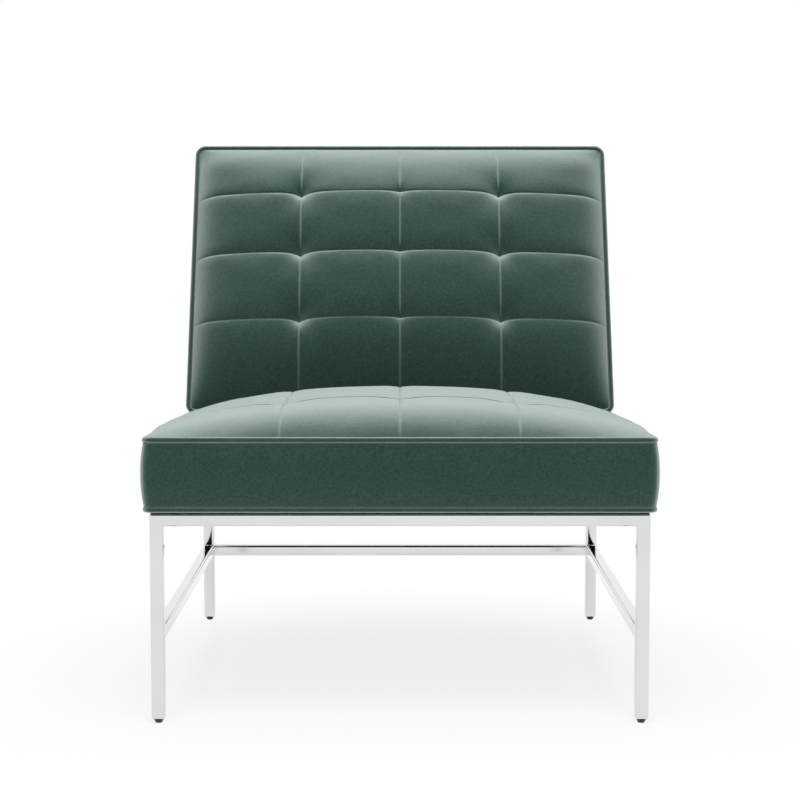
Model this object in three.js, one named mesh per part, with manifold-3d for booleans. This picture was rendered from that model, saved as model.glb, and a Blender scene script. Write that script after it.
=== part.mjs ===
// Slipper chair: a tufted seat and a leaning tufted back on a welded frame of square tube.
// Millimetres, +Z up, the chair faces -Y. Sizes come first, and every piece is worked out from them.

import * as THREE from 'three';
import { mergeVertices } from 'three/addons/utils/BufferGeometryUtils.js';
import Module from 'manifold-3d';

const wasm = await Module();
wasm.setup();

// Clearances and cutters
const fitGap = 0.3; // between pieces that touch
const paddingGap = 1.2; // between a quilted cover and the foam that fills it
const overrun = 3; // how far a cutter passes the face that it cuts

// Frame of square steel tube. Y is 0 at the front face of the front legs.
const frameWidth = 692;
const frameDepth = 730;
const frameTop = 296;
const tubeSide = 19;
const tubeWall = 1.5;
const tubeCorner = 3;
const stretcherFloor = 115; // floor to the underside of the stretchers

// Glides under the legs
const glideHeight = 5.4;
const glideTopRadius = 6.9;
const glideFootRadius = 4.9;
const glideFootRound = 0.8;
const glideStemRadius = 4;
const glideStemLength = 16;
const glideBarb = 0.7;

// Corner plates of the frame and the screws that hold the seat on them
const plateLeg = 60;
const plateTip = 8;
const plateThickness = 3;
const plateHoleInset = 24;
const screwRadius = 2.5;
const screwHeadRadius = 5.5;
const screwHeadHeight = 3;
const screwBite = 24; // depth in the wood
const screwPoint = 5;

// Seams and covers
const weltRadius = 4.2;
const weltClearance = 0.7; // between a welt and the cover that turns in behind it
const coverCorner = 8; // plan radius of the boxed corners
const velvet = 1.5;
const boxingThickness = 4; // velvet with its wadding
const lipWidth = 22; // velvet turned under the wood and stapled
const dustCloth = 0.8;

// Seat
const seatSideOverhang = 4.6; // from the frame to the line of the welts
const seatEndOverhang = 0.8;
const seatHalfWidth = frameWidth / 2 + seatSideOverhang;
const seatFront = -seatEndOverhang;
const seatRear = frameDepth + seatEndOverhang;
const seatFrontHeight = 101; // from the frame to the top welt
const seatRearHeight = 78;
const seatTopFront = frameTop + seatFrontHeight;
const seatTopRear = frameTop + seatRearHeight;
const seatSwell = 7.2; // how far the boxing stands out past the line of the welts
const seatSideSeam = 167; // the outer seams, either side of the middle one
const seatRowSpacing = 115;
const seatRowCount = 4;
const seatCrown = 54;
const seatPuff = 6;
const seatGroove = 3;
const seatTuftPull = 2.5;
const seatRoll = 13; // from a seam to the top of the stuffing beside it

// Wood and springs of the seat
const seatRailHeight = 50;
const seatRailThickness = 24;
const railStepLength = 176; // raised rear ends of the side rails, under the back
const cornerBlockLeg = 62;
const cornerBlockHeight = 28;
const springWire = 3.4;
const springCount = 5;
const springMargin = 79.6; // from a side rail to the middle of the nearest spring
const springHalfWidth = 22;
const springBends = 14;
const springSeat = 12; // length of wire that lies on the rail

// Back
const backSideOverhang = 0.8; // past the seat's welts
const backFootThickness = 168.8; // from the front welt to the rear of the seat
const backRake = 176; // how far the top of the back lies behind its foot
const backHeight = 454; // from the rear of the seat to the top welt
const backHalfWidth = seatHalfWidth + backSideOverhang;
const backFootY = seatRear - backFootThickness;
const backHeadY = backFootY + backRake;
const backHeadZ = seatTopRear + backHeight;
const backTopThickness = 90;
const backCorner = 16;
const backSwell = 4;
const backSideSeam = 168;
const backFirstRow = 108; // top welt to the first row of tufts
const backRowSpacing = 114;
const backRowCount = 3;
const backCrown = 55;
const backPuff = 11;
const backGroove = 5;
const backTuftPull = 7;
const backRoll = 14;
const rearPanelThickness = 3;
const backPadding = 4; // wadding between the wood and the boxing

// Wood and webbing of the back
const backFoamDepth = 46; // front welts to the webbing
const sideFrameThickness = 32;
const backRailThickness = 24;
const backRailHeight = 70;
const webWidth = 50;
const webThickness = 2;
const webCount = 3;

// Steel tongues that join the back to the seat
const tongueWidth = 40;
const tongueThickness = 5;
const tongueRearInset = 4; // from the rear rail
const tongueBackEngagement = 108;
const tongueScrewRadius = 3;
const tongueScrewHead = 6;
const tongueScrewHeadHeight = 4;
const tongueScrewLength = 18;

// Shares and counts that shape the soft forms
const crownPowerShares = { seatAcross: 3.5, seatFront: 7, seatRear: 3, backAcross: 4, backUp: 4 };
const tuftPower = 4;
const boxingShares = [0.28, 0.72];
const edgeRiseShare = 2; // the stuffing reaches its full height this many rolls in from an edge
const crownTiltShare = 0.1; // how far the crown of the back leans up its face
const roundSegments = 12;
const cornerSegments = 4;

const steel = new THREE.MeshStandardMaterial({ color: 0xd9dadb, roughness: 0.12, metalness: 1 });
const plainSteel = new THREE.MeshStandardMaterial({ color: 0x8b8e90, roughness: 0.4, metalness: 0.9 });
const springSteel = new THREE.MeshStandardMaterial({ color: 0x5f6264, roughness: 0.45, metalness: 0.9 });
const nylon = new THREE.MeshStandardMaterial({ color: 0x161617, roughness: 0.5, metalness: 0 });
const velvetGreen = new THREE.MeshStandardMaterial({ color: 0x44635a, roughness: 0.9, metalness: 0 });
const blackCloth = new THREE.MeshStandardMaterial({ color: 0x131313, roughness: 0.95, metalness: 0 });
const hardwood = new THREE.MeshStandardMaterial({ color: 0xb08a5c, roughness: 0.7, metalness: 0 });
const foam = new THREE.MeshStandardMaterial({ color: 0xe6dcc0, roughness: 1, metalness: 0 });
const webbing = new THREE.MeshStandardMaterial({ color: 0x2f3136, roughness: 0.9, metalness: 0 });

const chair = new THREE.Group();

function piece(name, geometry, material) {
  const mesh = new THREE.Mesh(geometry, material.clone());
  mesh.name = name;
  chair.add(mesh);
  return mesh;
}

// Solids for cutting and joining

function merged(geometry) {
  const bare = geometry.clone();
  bare.deleteAttribute('normal');
  bare.deleteAttribute('uv');
  const whole = mergeVertices(bare);
  const corners = whole.index.array;
  const kept = [];
  for (let i = 0; i < corners.length; i += 3) {
    const [a, b, c] = [corners[i], corners[i + 1], corners[i + 2]];
    if (a !== b && b !== c && c !== a) kept.push(a, b, c);
  }
  whole.setIndex(kept);
  return whole;
}

function solid(geometry) {
  const whole = merged(geometry);
  const mesh = new wasm.Mesh({
    numProp: 3,
    vertProperties: new Float32Array(whole.attributes.position.array),
    triVerts: new Uint32Array(whole.index.array),
  });
  return new wasm.Manifold(mesh);
}

function geometryOf(manifold) {
  const mesh = manifold.getMesh();
  const geometry = new THREE.BufferGeometry();
  geometry.setAttribute('position', new THREE.BufferAttribute(mesh.vertProperties, 3));
  geometry.setIndex(new THREE.BufferAttribute(mesh.triVerts, 1));
  geometry.computeVertexNormals();
  return geometry;
}

function cut(geometry, cutters) {
  let body = solid(geometry);
  for (const cutter of cutters) body = body.subtract(solid(cutter));
  return geometryOf(body);
}

function box(low, high) {
  const size = new THREE.Vector3().subVectors(high, low);
  const geometry = new THREE.BoxGeometry(size.x, size.y, size.z);
  return geometry.translate(low.x + size.x / 2, low.y + size.y / 2, low.z + size.z / 2);
}

function upright(radius, bottom, top) {
  const geometry = new THREE.CylinderGeometry(radius, radius, top - bottom, roundSegments);
  return geometry.rotateX(Math.PI / 2).translate(0, 0, (top + bottom) / 2);
}

function roundedRectangle(width, height, radius) {
  const x = width / 2 - radius;
  const y = height / 2 - radius;
  const shape = new THREE.Shape();
  shape.absarc(x, -y, radius, -Math.PI / 2, 0);
  shape.absarc(x, y, radius, 0, Math.PI / 2);
  shape.absarc(-x, y, radius, Math.PI / 2, Math.PI);
  shape.absarc(-x, -y, radius, Math.PI, 1.5 * Math.PI);
  return shape;
}

function prism(shape, depth) {
  return new THREE.ExtrudeGeometry(shape, { depth, bevelEnabled: false, curveSegments: 2 });
}

// A profile in the YZ plane, extruded across the chair from one X to another
function acrossPrism(points, fromX, toX) {
  const shape = new THREE.Shape(points.map(([y, z]) => new THREE.Vector2(y, z)));
  const geometry = prism(shape, toX - fromX);
  const turn = new THREE.Matrix4().makeBasis(
    new THREE.Vector3(0, 1, 0),
    new THREE.Vector3(0, 0, 1),
    new THREE.Vector3(1, 0, 0),
  );
  return geometry.applyMatrix4(turn).translate(fromX, 0, 0);
}

// Frame

const bore = tubeSide - 2 * tubeWall;
const boreCorner = tubeCorner - tubeWall;
const railZ = frameTop - tubeSide / 2;
const stretcherZ = stretcherFloor + tubeSide / 2;
const legX = (frameWidth - tubeSide) / 2;
const legFrontY = tubeSide / 2;
const legRearY = frameDepth - tubeSide / 2;
const legFoot = glideHeight + fitGap;
const acrossLength = frameWidth - 2 * tubeSide - 2 * fitGap;
const alongLength = frameDepth - 2 * tubeSide - 2 * fitGap;

// An open tube, centred, that runs along Z
function tube(length) {
  const outline = roundedRectangle(tubeSide, tubeSide, tubeCorner);
  outline.holes.push(roundedRectangle(bore, bore, boreCorner));
  return prism(outline, length).translate(0, 0, -length / 2);
}

// A leg: tube closed at both ends, with a hole in the foot for the glide's stem
function legGeometry() {
  const outside = prism(roundedRectangle(tubeSide, tubeSide, tubeCorner), frameTop - legFoot);
  outside.translate(0, 0, legFoot);
  const inside = prism(roundedRectangle(bore, bore, boreCorner), frameTop - legFoot - 2 * tubeWall);
  inside.translate(0, 0, legFoot + tubeWall);
  const hole = upright(glideStemRadius + fitGap, legFoot - overrun, legFoot + tubeWall + overrun);
  return cut(outside, [inside, hole]);
}

// A glide turned from nylon: tapered foot, stem and a barb that holds it in the leg
function glideGeometry() {
  const barbFoot = legFoot + tubeWall + fitGap;
  const barbTop = barbFoot + 2 * glideBarb;
  const stemTop = legFoot + glideStemLength;
  const profile = [
    [0, 0],
    [glideFootRadius - glideFootRound, 0],
    [glideFootRadius, glideFootRound],
    [glideTopRadius, glideHeight],
    [glideStemRadius, glideHeight],
    [glideStemRadius, barbFoot],
    [glideStemRadius + glideBarb, barbFoot],
    [glideStemRadius, barbTop],
    [glideStemRadius - glideBarb, stemTop],
    [0, stemTop],
  ];
  return new THREE.LatheGeometry(profile.map(([r, z]) => new THREE.Vector2(r, z)), roundSegments)
    .rotateX(Math.PI / 2);
}

function buildFrame() {
  const leg = legGeometry();
  const glide = glideGeometry();
  for (const [end, y] of [['front', legFrontY], ['rear', legRearY]]) {
    for (const [side, x] of [['left', -legX], ['right', legX]]) {
      piece(`leg_${end}_${side}`, leg.clone(), steel).position.set(x, y, 0);
      piece(`glide_${end}_${side}`, glide.clone(), nylon).position.set(x, y, 0);
    }
    const rail = piece(`top_rail_${end}`, tube(acrossLength), steel);
    rail.rotation.y = Math.PI / 2;
    rail.position.set(0, y, railZ);
  }
  for (const [side, x] of [['left', -legX], ['right', legX]]) {
    for (const [name, z] of [['top_rail', railZ], ['stretcher', stretcherZ]]) {
      const rail = piece(`${name}_${side}`, tube(alongLength), steel);
      rail.rotation.x = Math.PI / 2;
      rail.position.set(x, frameDepth / 2, z);
    }
  }
  const stretcher = piece('stretcher_rear', tube(acrossLength), steel);
  stretcher.rotation.y = Math.PI / 2;
  stretcher.position.set(0, legRearY, stretcherZ);
}

// Places of the four corners, with the turn that brings a corner piece to each
const cornerX = frameWidth / 2 - tubeSide - fitGap;
const cornerFrontY = tubeSide + fitGap;
const cornerRearY = frameDepth - tubeSide - fitGap;

function cornersOf(x, frontY, rearY) {
  return [
    { name: 'front_left', x: -x, y: frontY, turn: 0 },
    { name: 'front_right', x, y: frontY, turn: Math.PI / 2 },
    { name: 'rear_right', x, y: rearY, turn: Math.PI },
    { name: 'rear_left', x: -x, y: rearY, turn: -Math.PI / 2 },
  ];
}

// A three-cornered plate or block with its square corner at the origin and its points clipped
function cornerShape(leg, tip) {
  return new THREE.Shape([
    new THREE.Vector2(0, 0),
    new THREE.Vector2(leg, 0),
    new THREE.Vector2(leg, tip),
    new THREE.Vector2(tip, leg),
    new THREE.Vector2(0, leg),
  ]);
}

// Levels of the seat from the frame up
const plateBottom = frameTop - plateThickness;
const dustBottom = frameTop + fitGap;
const coverBottom = dustBottom + dustCloth + fitGap;
const woodBottom = coverBottom + velvet + fitGap;
const springBottom = woodBottom + seatRailHeight + fitGap;
const foamBottom = springBottom + springWire + fitGap;
const screwTop = woodBottom + screwBite;
const seatWeltFoot = frameTop + fitGap + weltRadius; // height of the lower welt

function buildCornerPlates() {
  const plate = prism(cornerShape(plateLeg, plateTip), plateThickness).translate(0, 0, plateBottom);
  const hole = upright(screwRadius + fitGap, plateBottom - overrun, frameTop + overrun);
  const drilled = cut(plate, [hole.translate(plateHoleInset, plateHoleInset, 0)]);
  const headTop = plateBottom - fitGap;
  const screw = [
    [0, headTop - screwHeadHeight],
    [screwHeadRadius - screwHeadHeight / 2, headTop - screwHeadHeight],
    [screwHeadRadius, headTop - screwHeadHeight / 2],
    [screwHeadRadius, headTop],
    [screwRadius, headTop],
    [screwRadius, screwTop - screwPoint],
    [0, screwTop],
  ];
  const screwGeometry = new THREE.LatheGeometry(
    screw.map(([r, z]) => new THREE.Vector2(r, z)), roundSegments,
  ).rotateX(Math.PI / 2).translate(plateHoleInset, plateHoleInset, 0);
  for (const corner of cornersOf(cornerX, cornerFrontY, cornerRearY)) {
    for (const [kind, geometry] of [['corner_plate', drilled], ['seat_screw', screwGeometry]]) {
      const mesh = piece(`${kind}_${corner.name}`, geometry.clone(), plainSteel);
      mesh.position.set(corner.x, corner.y, 0);
      mesh.rotation.z = corner.turn;
    }
  }
}

// Places of the seat screws, in the chair's own axes
function screwPlaces() {
  const inX = cornerX - plateHoleInset;
  const frontY = cornerFrontY + plateHoleInset;
  const rearY = cornerRearY - plateHoleInset;
  return [[-inX, frontY], [inX, frontY], [inX, rearY], [-inX, rearY]];
}

// Wood of the seat

const seatInset = weltRadius + weltClearance;
const seatCoverX = seatHalfWidth - seatInset;
const seatCoverFront = seatFront + seatInset;
const seatCoverRear = seatRear - seatInset;
const woodX = seatCoverX - boxingThickness - fitGap;
const woodFront = seatCoverFront + boxingThickness + fitGap;
const woodRear = seatCoverRear - boxingThickness - fitGap;
const railInnerX = woodX - seatRailThickness;
const springSpacing = 2 * (railInnerX - springMargin) / (springCount - 1);
const railTop = woodBottom + seatRailHeight;
const quiltDepth = seatGroove + seatTuftPull + 2 * velvet;

// Height of the seat's edge, falling to the rear
function seatEdge(y) {
  const share = (y - seatFront) / (seatRear - seatFront);
  return seatTopFront + (seatTopRear - seatTopFront) * share;
}

// Tongues, on the inner faces of the seat's side rails
const tongueOuterX = railInnerX - fitGap;
const tongueInnerX = tongueOuterX - tongueThickness;
const tongueRearY = woodRear - seatRailThickness - tongueRearInset;
const tongueFrontY = tongueRearY - tongueWidth;
const stepTop = seatEdge(tongueRearY) - quiltDepth - fitGap;
const tongueBottom = woodBottom + cornerBlockHeight + fitGap;
const tongueTop = stepTop + tongueBackEngagement;
const tongueScrewZ = (tongueBottom + stepTop) / 2;
const tongueScrewYs = [
  tongueFrontY + tongueWidth / 4,
  tongueRearY - tongueWidth / 4,
];

// A round hole or shank that runs along X
function acrossRod(radius, fromX, toX, y, z, segments = roundSegments) {
  return new THREE.CylinderGeometry(radius, radius, Math.abs(toX - fromX), segments)
    .rotateZ(Math.PI / 2)
    .translate((fromX + toX) / 2, y, z);
}

function buildSeatWood() {
  const step = woodRear - railStepLength;
  const sideProfile = [
    [woodFront, woodBottom],
    [woodRear, woodBottom],
    [woodRear, seatEdge(woodRear) - quiltDepth - fitGap],
    [step, seatEdge(step) - quiltDepth - fitGap],
    [step, foamBottom - fitGap],
    [woodFront, foamBottom - fitGap],
  ];
  const innerX = railInnerX;
  const outline = roundedRectangle(2 * woodX, woodRear - woodFront, coverCorner);
  const rounded = solid(prism(outline, seatTopFront - woodBottom + overrun)
    .translate(0, (woodFront + woodRear) / 2, woodBottom - overrun / 2));
  for (const [side, sign] of [['left', -1], ['right', 1]]) {
    const fromX = Math.min(sign * innerX, sign * woodX);
    const rail = acrossPrism(sideProfile, fromX, fromX + seatRailThickness);
    const holes = tongueScrewYs.map((y) => acrossRod(
      tongueScrewRadius + fitGap, sign * (innerX - overrun),
      sign * (tongueInnerX + tongueScrewLength + fitGap), y, tongueScrewZ,
    ));
    const drilled = solid(cut(rail, holes));
    piece(`seat_rail_${side}`, geometryOf(drilled.intersect(rounded)), hardwood);
  }
  const endX = innerX - fitGap;
  for (const [end, y] of [['front', woodFront], ['rear', woodRear - seatRailThickness]]) {
    const low = new THREE.Vector3(-endX, y, woodBottom);
    const high = new THREE.Vector3(endX, y + seatRailThickness, railTop);
    piece(`seat_rail_${end}`, box(low, high), hardwood);
  }
  const blockX = innerX - fitGap;
  const blockFront = woodFront + seatRailThickness + fitGap;
  const blockRear = woodRear - seatRailThickness - fitGap;
  const block = prism(cornerShape(cornerBlockLeg, 0), cornerBlockHeight).translate(0, 0, woodBottom);
  const places = cornersOf(blockX, blockFront, blockRear);
  places.forEach((corner, i) => {
    const placed = block.clone().rotateZ(corner.turn).translate(corner.x, corner.y, 0);
    const [x, y] = screwPlaces()[i];
    const hole = upright(screwRadius + fitGap, woodBottom - overrun, screwTop + fitGap);
    piece(`corner_block_${corner.name}`, cut(placed, [hole.translate(x, y, 0)]), hardwood);
  });
}

// Springs: wire bent to and fro on its way from the front rail to the rear rail

class SpringPath extends THREE.Curve {
  constructor(x) {
    super();
    this.x = x;
    this.startY = woodFront + springSeat;
    this.endY = woodRear - springSeat;
  }

  getPoint(t, target = new THREE.Vector3()) {
    const sway = springHalfWidth * Math.sin(Math.PI * springBends * t);
    const y = this.startY + (this.endY - this.startY) * t;
    return target.set(this.x + sway, y, springBottom + springWire / 2);
  }

  getUtoTmapping(u) {
    return u;
  }
}

function buildSprings() {
  const section = new THREE.Shape();
  section.absarc(0, 0, springWire / 2, 0, 2 * Math.PI);
  for (let i = 0; i < springCount; i += 1) {
    const x = (i - (springCount - 1) / 2) * springSpacing;
    const spring = new THREE.ExtrudeGeometry(section, {
      steps: springBends * 4,
      curveSegments: 3,
      extrudePath: new SpringPath(x),
    });
    piece(`seat_spring_${i + 1}`, spring, springSteel);
  }
}

// Soft forms on a grid of seams. The grid's lines are the seams, the top of the stuffing
// beside each seam, and the middle of each panel.

function panelLines(seams, roll) {
  const lines = [];
  for (let i = 0; i < seams.length - 1; i += 1) {
    const [a, b] = [seams[i], seams[i + 1]];
    lines.push(a, a + roll, (a + b) / 2, b - roll);
  }
  lines.push(seams[seams.length - 1]);
  return lines;
}

// The grid's edge, anticlockwise, with the outward direction at each point
function edgeOf(columns, rows) {
  const [lastColumn, lastRow] = [columns.length - 1, rows.length - 1];
  const edge = [];
  for (let i = 0; i < lastColumn; i += 1) edge.push([i, 0]);
  for (let j = 0; j < lastRow; j += 1) edge.push([lastColumn, j]);
  for (let i = lastColumn; i > 0; i -= 1) edge.push([i, lastRow]);
  for (let j = lastRow; j > 0; j -= 1) edge.push([0, j]);
  return edge.map(([i, j]) => {
    const out = new THREE.Vector2(
      Number(i === lastColumn) - Number(i === 0),
      Number(j === lastRow) - Number(j === 0),
    ).normalize();
    return { i, j, out };
  });
}

// A point of the grid, with the four corner points brought in to round the corners, and all
// points kept some way in from the edge
function gridPoint(columns, rows, i, j, radius, inset = 0) {
  const [lastColumn, lastRow] = [columns.length - 1, rows.length - 1];
  const atCorner = (i === 0 || i === lastColumn) && (j === 0 || j === lastRow);
  const pull = atCorner ? radius * (1 - Math.SQRT1_2) + inset * Math.SQRT1_2 : 0;
  const x = columns[i] + (i === 0 ? pull : -pull);
  const y = rows[j] + (j === 0 ? pull : -pull);
  return [
    THREE.MathUtils.clamp(x, columns[0] + inset, columns[lastColumn] - inset),
    THREE.MathUtils.clamp(y, rows[0] + inset, rows[lastRow] - inset),
  ];
}

// A ring round the grid's edge: each point moves out by an offset and then is placed in space
function edgeRing(columns, rows, radius, offsetAt, placeAt) {
  return edgeOf(columns, rows).map((point) => {
    const [x, y] = gridPoint(columns, rows, point.i, point.j, radius);
    const offset = offsetAt(point);
    const inward = Math.max(0, -offset);
    const outX = x + point.out.x * offset;
    const outY = y + point.out.y * offset;
    const lastColumn = columns[columns.length - 1];
    const lastRow = rows[rows.length - 1];
    const clampedX = inward ? THREE.MathUtils.clamp(outX, columns[0] + inward, lastColumn - inward) : outX;
    const clampedY = inward ? THREE.MathUtils.clamp(outY, rows[0] + inward, lastRow - inward) : outY;
    return placeAt(clampedX, clampedY, point);
  });
}

// One closed skin: a face over the grid, rings down its sides, and a face that closes it
function closedSkin(columns, rows, face, rings, backFace) {
  const triangles = [];
  const push = (a, b, c) => triangles.push(...a.toArray(), ...b.toArray(), ...c.toArray());
  const quad = (a, b, c, d) => {
    push(a, b, c);
    push(a, c, d);
  };
  for (let i = 0; i < columns.length - 1; i += 1) {
    for (let j = 0; j < rows.length - 1; j += 1) {
      quad(face(i, j), face(i + 1, j), face(i + 1, j + 1), face(i, j + 1));
      quad(backFace(i + 1, j + 1), backFace(i + 1, j), backFace(i, j), backFace(i, j + 1));
    }
  }
  const edge = edgeOf(columns, rows);
  const loops = [
    edge.map(({ i, j }) => face(i, j)),
    ...rings,
    edge.map(({ i, j }) => backFace(i, j)),
  ];
  for (let k = 0; k < loops.length - 1; k += 1) {
    for (let n = 0; n < edge.length; n += 1) {
      const next = (n + 1) % edge.length;
      quad(loops[k][n], loops[k + 1][n], loops[k + 1][next], loops[k][next]);
    }
  }
  const geometry = new THREE.BufferGeometry();
  geometry.setAttribute('position', new THREE.Float32BufferAttribute(triangles, 3));
  const whole = merged(geometry);
  whole.computeVertexNormals();
  return whole;
}

// How far across its panel a place lies, as a share
function panelShare(place, seams) {
  let i = 0;
  while (i < seams.length - 2 && place > seams[i + 1]) i += 1;
  return (place - seams[i]) / (seams[i + 1] - seams[i]);
}

function nearestSeam(place, seams) {
  return Math.min(...seams.map((seam) => Math.abs(place - seam)));
}

// Rise of the stuffing over the crown: full in the panels, less on the seams, least at the tufts
function tuftedRise(x, y, form) {
  const across = Math.abs(2 * panelShare(x, form.columnSeams) - 1) ** tuftPower;
  const along = Math.abs(2 * panelShare(y, form.rowSeams) - 1) ** tuftPower;
  const toColumn = nearestSeam(x, form.columnSeams);
  const toRow = nearestSeam(y, form.rowSeams);
  const groove = Math.max(0, 1 - Math.min(toColumn, toRow) / form.roll);
  const tuft = Math.max(0, 1 - Math.hypot(toColumn, toRow) / form.roll);
  const toEdge = Math.min(
    x - form.columnSeams[0], form.columnSeams[form.columnSeams.length - 1] - x,
    y - form.rowSeams[0], form.rowSeams[form.rowSeams.length - 1] - y,
  );
  const edgeShare = THREE.MathUtils.clamp(toEdge / (edgeRiseShare * form.roll), 0, 1);
  const edgeRise = 1 - (1 - edgeShare) ** 2;
  return edgeRise * (form.puff * (1 - across * along) - form.groove * groove - form.pull * tuft);
}

function crownShare(place, low, high, power) {
  const share = (2 * place - low - high) / (high - low);
  return Math.max(0, 1 - Math.abs(share) ** power);
}

// The plain side of a cover follows the seams and the middles of the panels only. The lines
// beside a seam are drawn onto it, but for those that round the corners.
function plainLine(i, last) {
  if (i % 2 === 0 || i === 1 || i >= last - 2) return i;
  return i % 4 === 1 ? i - 1 : i + 1;
}

// Seat cover and foam

const seatTuftEnd = backFootY - weltRadius - fitGap;
const seatColumnSeams = [-seatCoverX, -seatSideSeam, 0, seatSideSeam, seatCoverX];
const seatRowSeams = [seatCoverFront];
for (let i = 1; i <= seatRowCount; i += 1) seatRowSeams.push(seatFront + i * seatRowSpacing);
seatRowSeams.push(seatTuftEnd);
const seatForm = {
  columnSeams: seatColumnSeams,
  rowSeams: seatRowSeams,
  roll: seatRoll,
  puff: seatPuff,
  groove: seatGroove,
  pull: seatTuftPull,
};

function seatCrownAt(x, y) {
  if (y >= seatTuftEnd) return 0;
  const middle = (seatCoverFront + seatTuftEnd) / 2;
  const power = y < middle ? crownPowerShares.seatFront : crownPowerShares.seatRear;
  const along = crownShare(y, seatCoverFront, seatTuftEnd, power);
  return seatCrown * along * crownShare(x, -seatCoverX, seatCoverX, crownPowerShares.seatAcross);
}

function seatTopAt(x, y) {
  const rise = y >= seatTuftEnd ? 0 : tuftedRise(x, y, seatForm);
  return seatEdge(y) + seatCrownAt(x, y) + rise;
}

const tongueSlot = [-1, 1].map((sign) => {
  const [a, b] = [sign * (tongueInnerX - fitGap), sign * (tongueOuterX + fitGap)];
  const low = new THREE.Vector3(Math.min(a, b), tongueFrontY - fitGap, tongueBottom - fitGap);
  const high = new THREE.Vector3(Math.max(a, b), tongueRearY + fitGap, tongueTop + fitGap);
  return box(low, high);
});

const seatColumns = panelLines(seatColumnSeams, seatRoll);
seatColumns[1] = -seatCoverX + coverCorner;
seatColumns[seatColumns.length - 2] = seatCoverX - coverCorner;
const seatRows = panelLines(seatRowSeams, seatRoll);
seatRows[1] = seatCoverFront + coverCorner;
seatRows.push(seatCoverRear - coverCorner, seatCoverRear);

// A point of the plain surface under the quilting, some way in from the boxing and down
function underQuilt(i, j, inset, drop) {
  const [column, row] = [plainLine(i, seatColumns.length - 1), plainLine(j, seatRows.length - 1)];
  const [x, y] = gridPoint(seatColumns, seatRows, column, row, coverCorner, inset);
  return new THREE.Vector3(x, y, seatEdge(y) + seatCrownAt(x, y) - quiltDepth - drop);
}

function buildSeatCover() {
  const face = (i, j) => {
    const [x, y] = gridPoint(seatColumns, seatRows, i, j, coverCorner);
    return new THREE.Vector3(x, y, seatTopAt(x, y));
  };
  const wall = (offset, height) => edgeRing(
    seatColumns, seatRows, coverCorner,
    () => offset,
    (x, y) => new THREE.Vector3(x, y, height(y)),
  );
  const rings = boxingShares.map((share) => wall(
    seatInset + seatSwell,
    (y) => THREE.MathUtils.lerp(seatEdge(y), coverBottom, share),
  ));
  const lip = -boxingThickness - lipWidth;
  rings.push(
    wall(0, () => seatWeltFoot + weltRadius / 2),
    wall(0, () => coverBottom),
    wall(lip, () => coverBottom),
    wall(lip, () => coverBottom + velvet),
    wall(-boxingThickness, () => coverBottom + velvet),
  );
  const inside = (i, j) => underQuilt(i, j, boxingThickness, 0);
  const skin = closedSkin(seatColumns, seatRows, face, rings, inside);
  piece('seat_cover', cut(skin, tongueSlot), velvetGreen);
}

function buildSeatFoam() {
  const inset = boxingThickness + 2 * fitGap;
  const face = (i, j) => underQuilt(i, j, inset, paddingGap);
  const under = (i, j) => face(i, j).setZ(foamBottom);
  const notches = [-1, 1].map((sign) => {
    const inner = sign * (tongueInnerX - tongueScrewHeadHeight - 2 * fitGap);
    const outer = sign * (woodX + overrun);
    const low = new THREE.Vector3(
      Math.min(inner, outer), woodRear - railStepLength - fitGap, foamBottom - overrun,
    );
    const high = new THREE.Vector3(Math.max(inner, outer), woodRear + overrun, seatTopFront);
    return box(low, high);
  });
  piece('seat_foam', cut(closedSkin(seatColumns, seatRows, face, [], under), notches), foam);
}

// Welts: piping sewn along the seams, its two ends meeting at the middle of the rear

class WeltPath extends THREE.Curve {
  constructor(points) {
    super();
    this.points = points;
  }

  getPoint(t, target = new THREE.Vector3()) {
    const place = t * (this.points.length - 1);
    const i = Math.min(Math.floor(place), this.points.length - 2);
    return target.lerpVectors(this.points[i], this.points[i + 1], place - i);
  }

  getUtoTmapping(u) {
    return u;
  }
}

function welt(points) {
  const section = new THREE.Shape();
  section.absarc(0, 0, weltRadius, 0, 2 * Math.PI);
  return new THREE.ExtrudeGeometry(section, {
    steps: points.length - 1,
    curveSegments: 4,
    extrudePath: new WeltPath(points),
  });
}

// A quarter turn of a welt round a corner, in the plane of its seam
function cornerArc(centreX, centreY, radius, fromAngle) {
  const arc = [];
  for (let i = 0; i <= cornerSegments; i += 1) {
    const angle = fromAngle + (Math.PI / 2) * (i / cornerSegments);
    arc.push([centreX + radius * Math.cos(angle), centreY + radius * Math.sin(angle)]);
  }
  return arc;
}

// The outline of a seam, anticlockwise, from the middle of its far side and back to it
function seamOutline(halfWidth, low, high, radius) {
  const x = halfWidth - radius;
  return [
    [-fitGap, high],
    ...cornerArc(-x, high - radius, radius, Math.PI / 2),
    ...cornerArc(-x, low + radius, radius, Math.PI),
    ...cornerArc(x, low + radius, radius, 1.5 * Math.PI),
    ...cornerArc(x, high - radius, radius, 0),
    [fitGap, high],
  ];
}

function buildSeatWelts() {
  const outline = seamOutline(seatHalfWidth, seatFront, seatRear, coverCorner + seatInset);
  const topPoints = outline.map(([x, y]) => new THREE.Vector3(x, y, seatEdge(y)));
  const bottomPoints = outline.map(([x, y]) => new THREE.Vector3(x, y, seatWeltFoot));
  piece('seat_welt_top', welt(topPoints), velvetGreen);
  piece('seat_welt_bottom', welt(bottomPoints), velvetGreen);
}

function buildDustCover() {
  const width = 2 * (seatHalfWidth - seatInset);
  const depth = seatCoverRear - seatCoverFront;
  const sheet = prism(roundedRectangle(width, depth, coverCorner), dustCloth);
  sheet.translate(0, (seatCoverRear + seatCoverFront) / 2, dustBottom);
  const holes = screwPlaces().map(([x, y]) => (
    upright(screwRadius + fitGap, dustBottom - overrun, dustBottom + overrun).translate(x, y, 0)
  ));
  piece('dust_cover', cut(sheet, holes), blackCloth);
}

// Back: a wedge between its front and rear seams, standing on the seat

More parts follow.
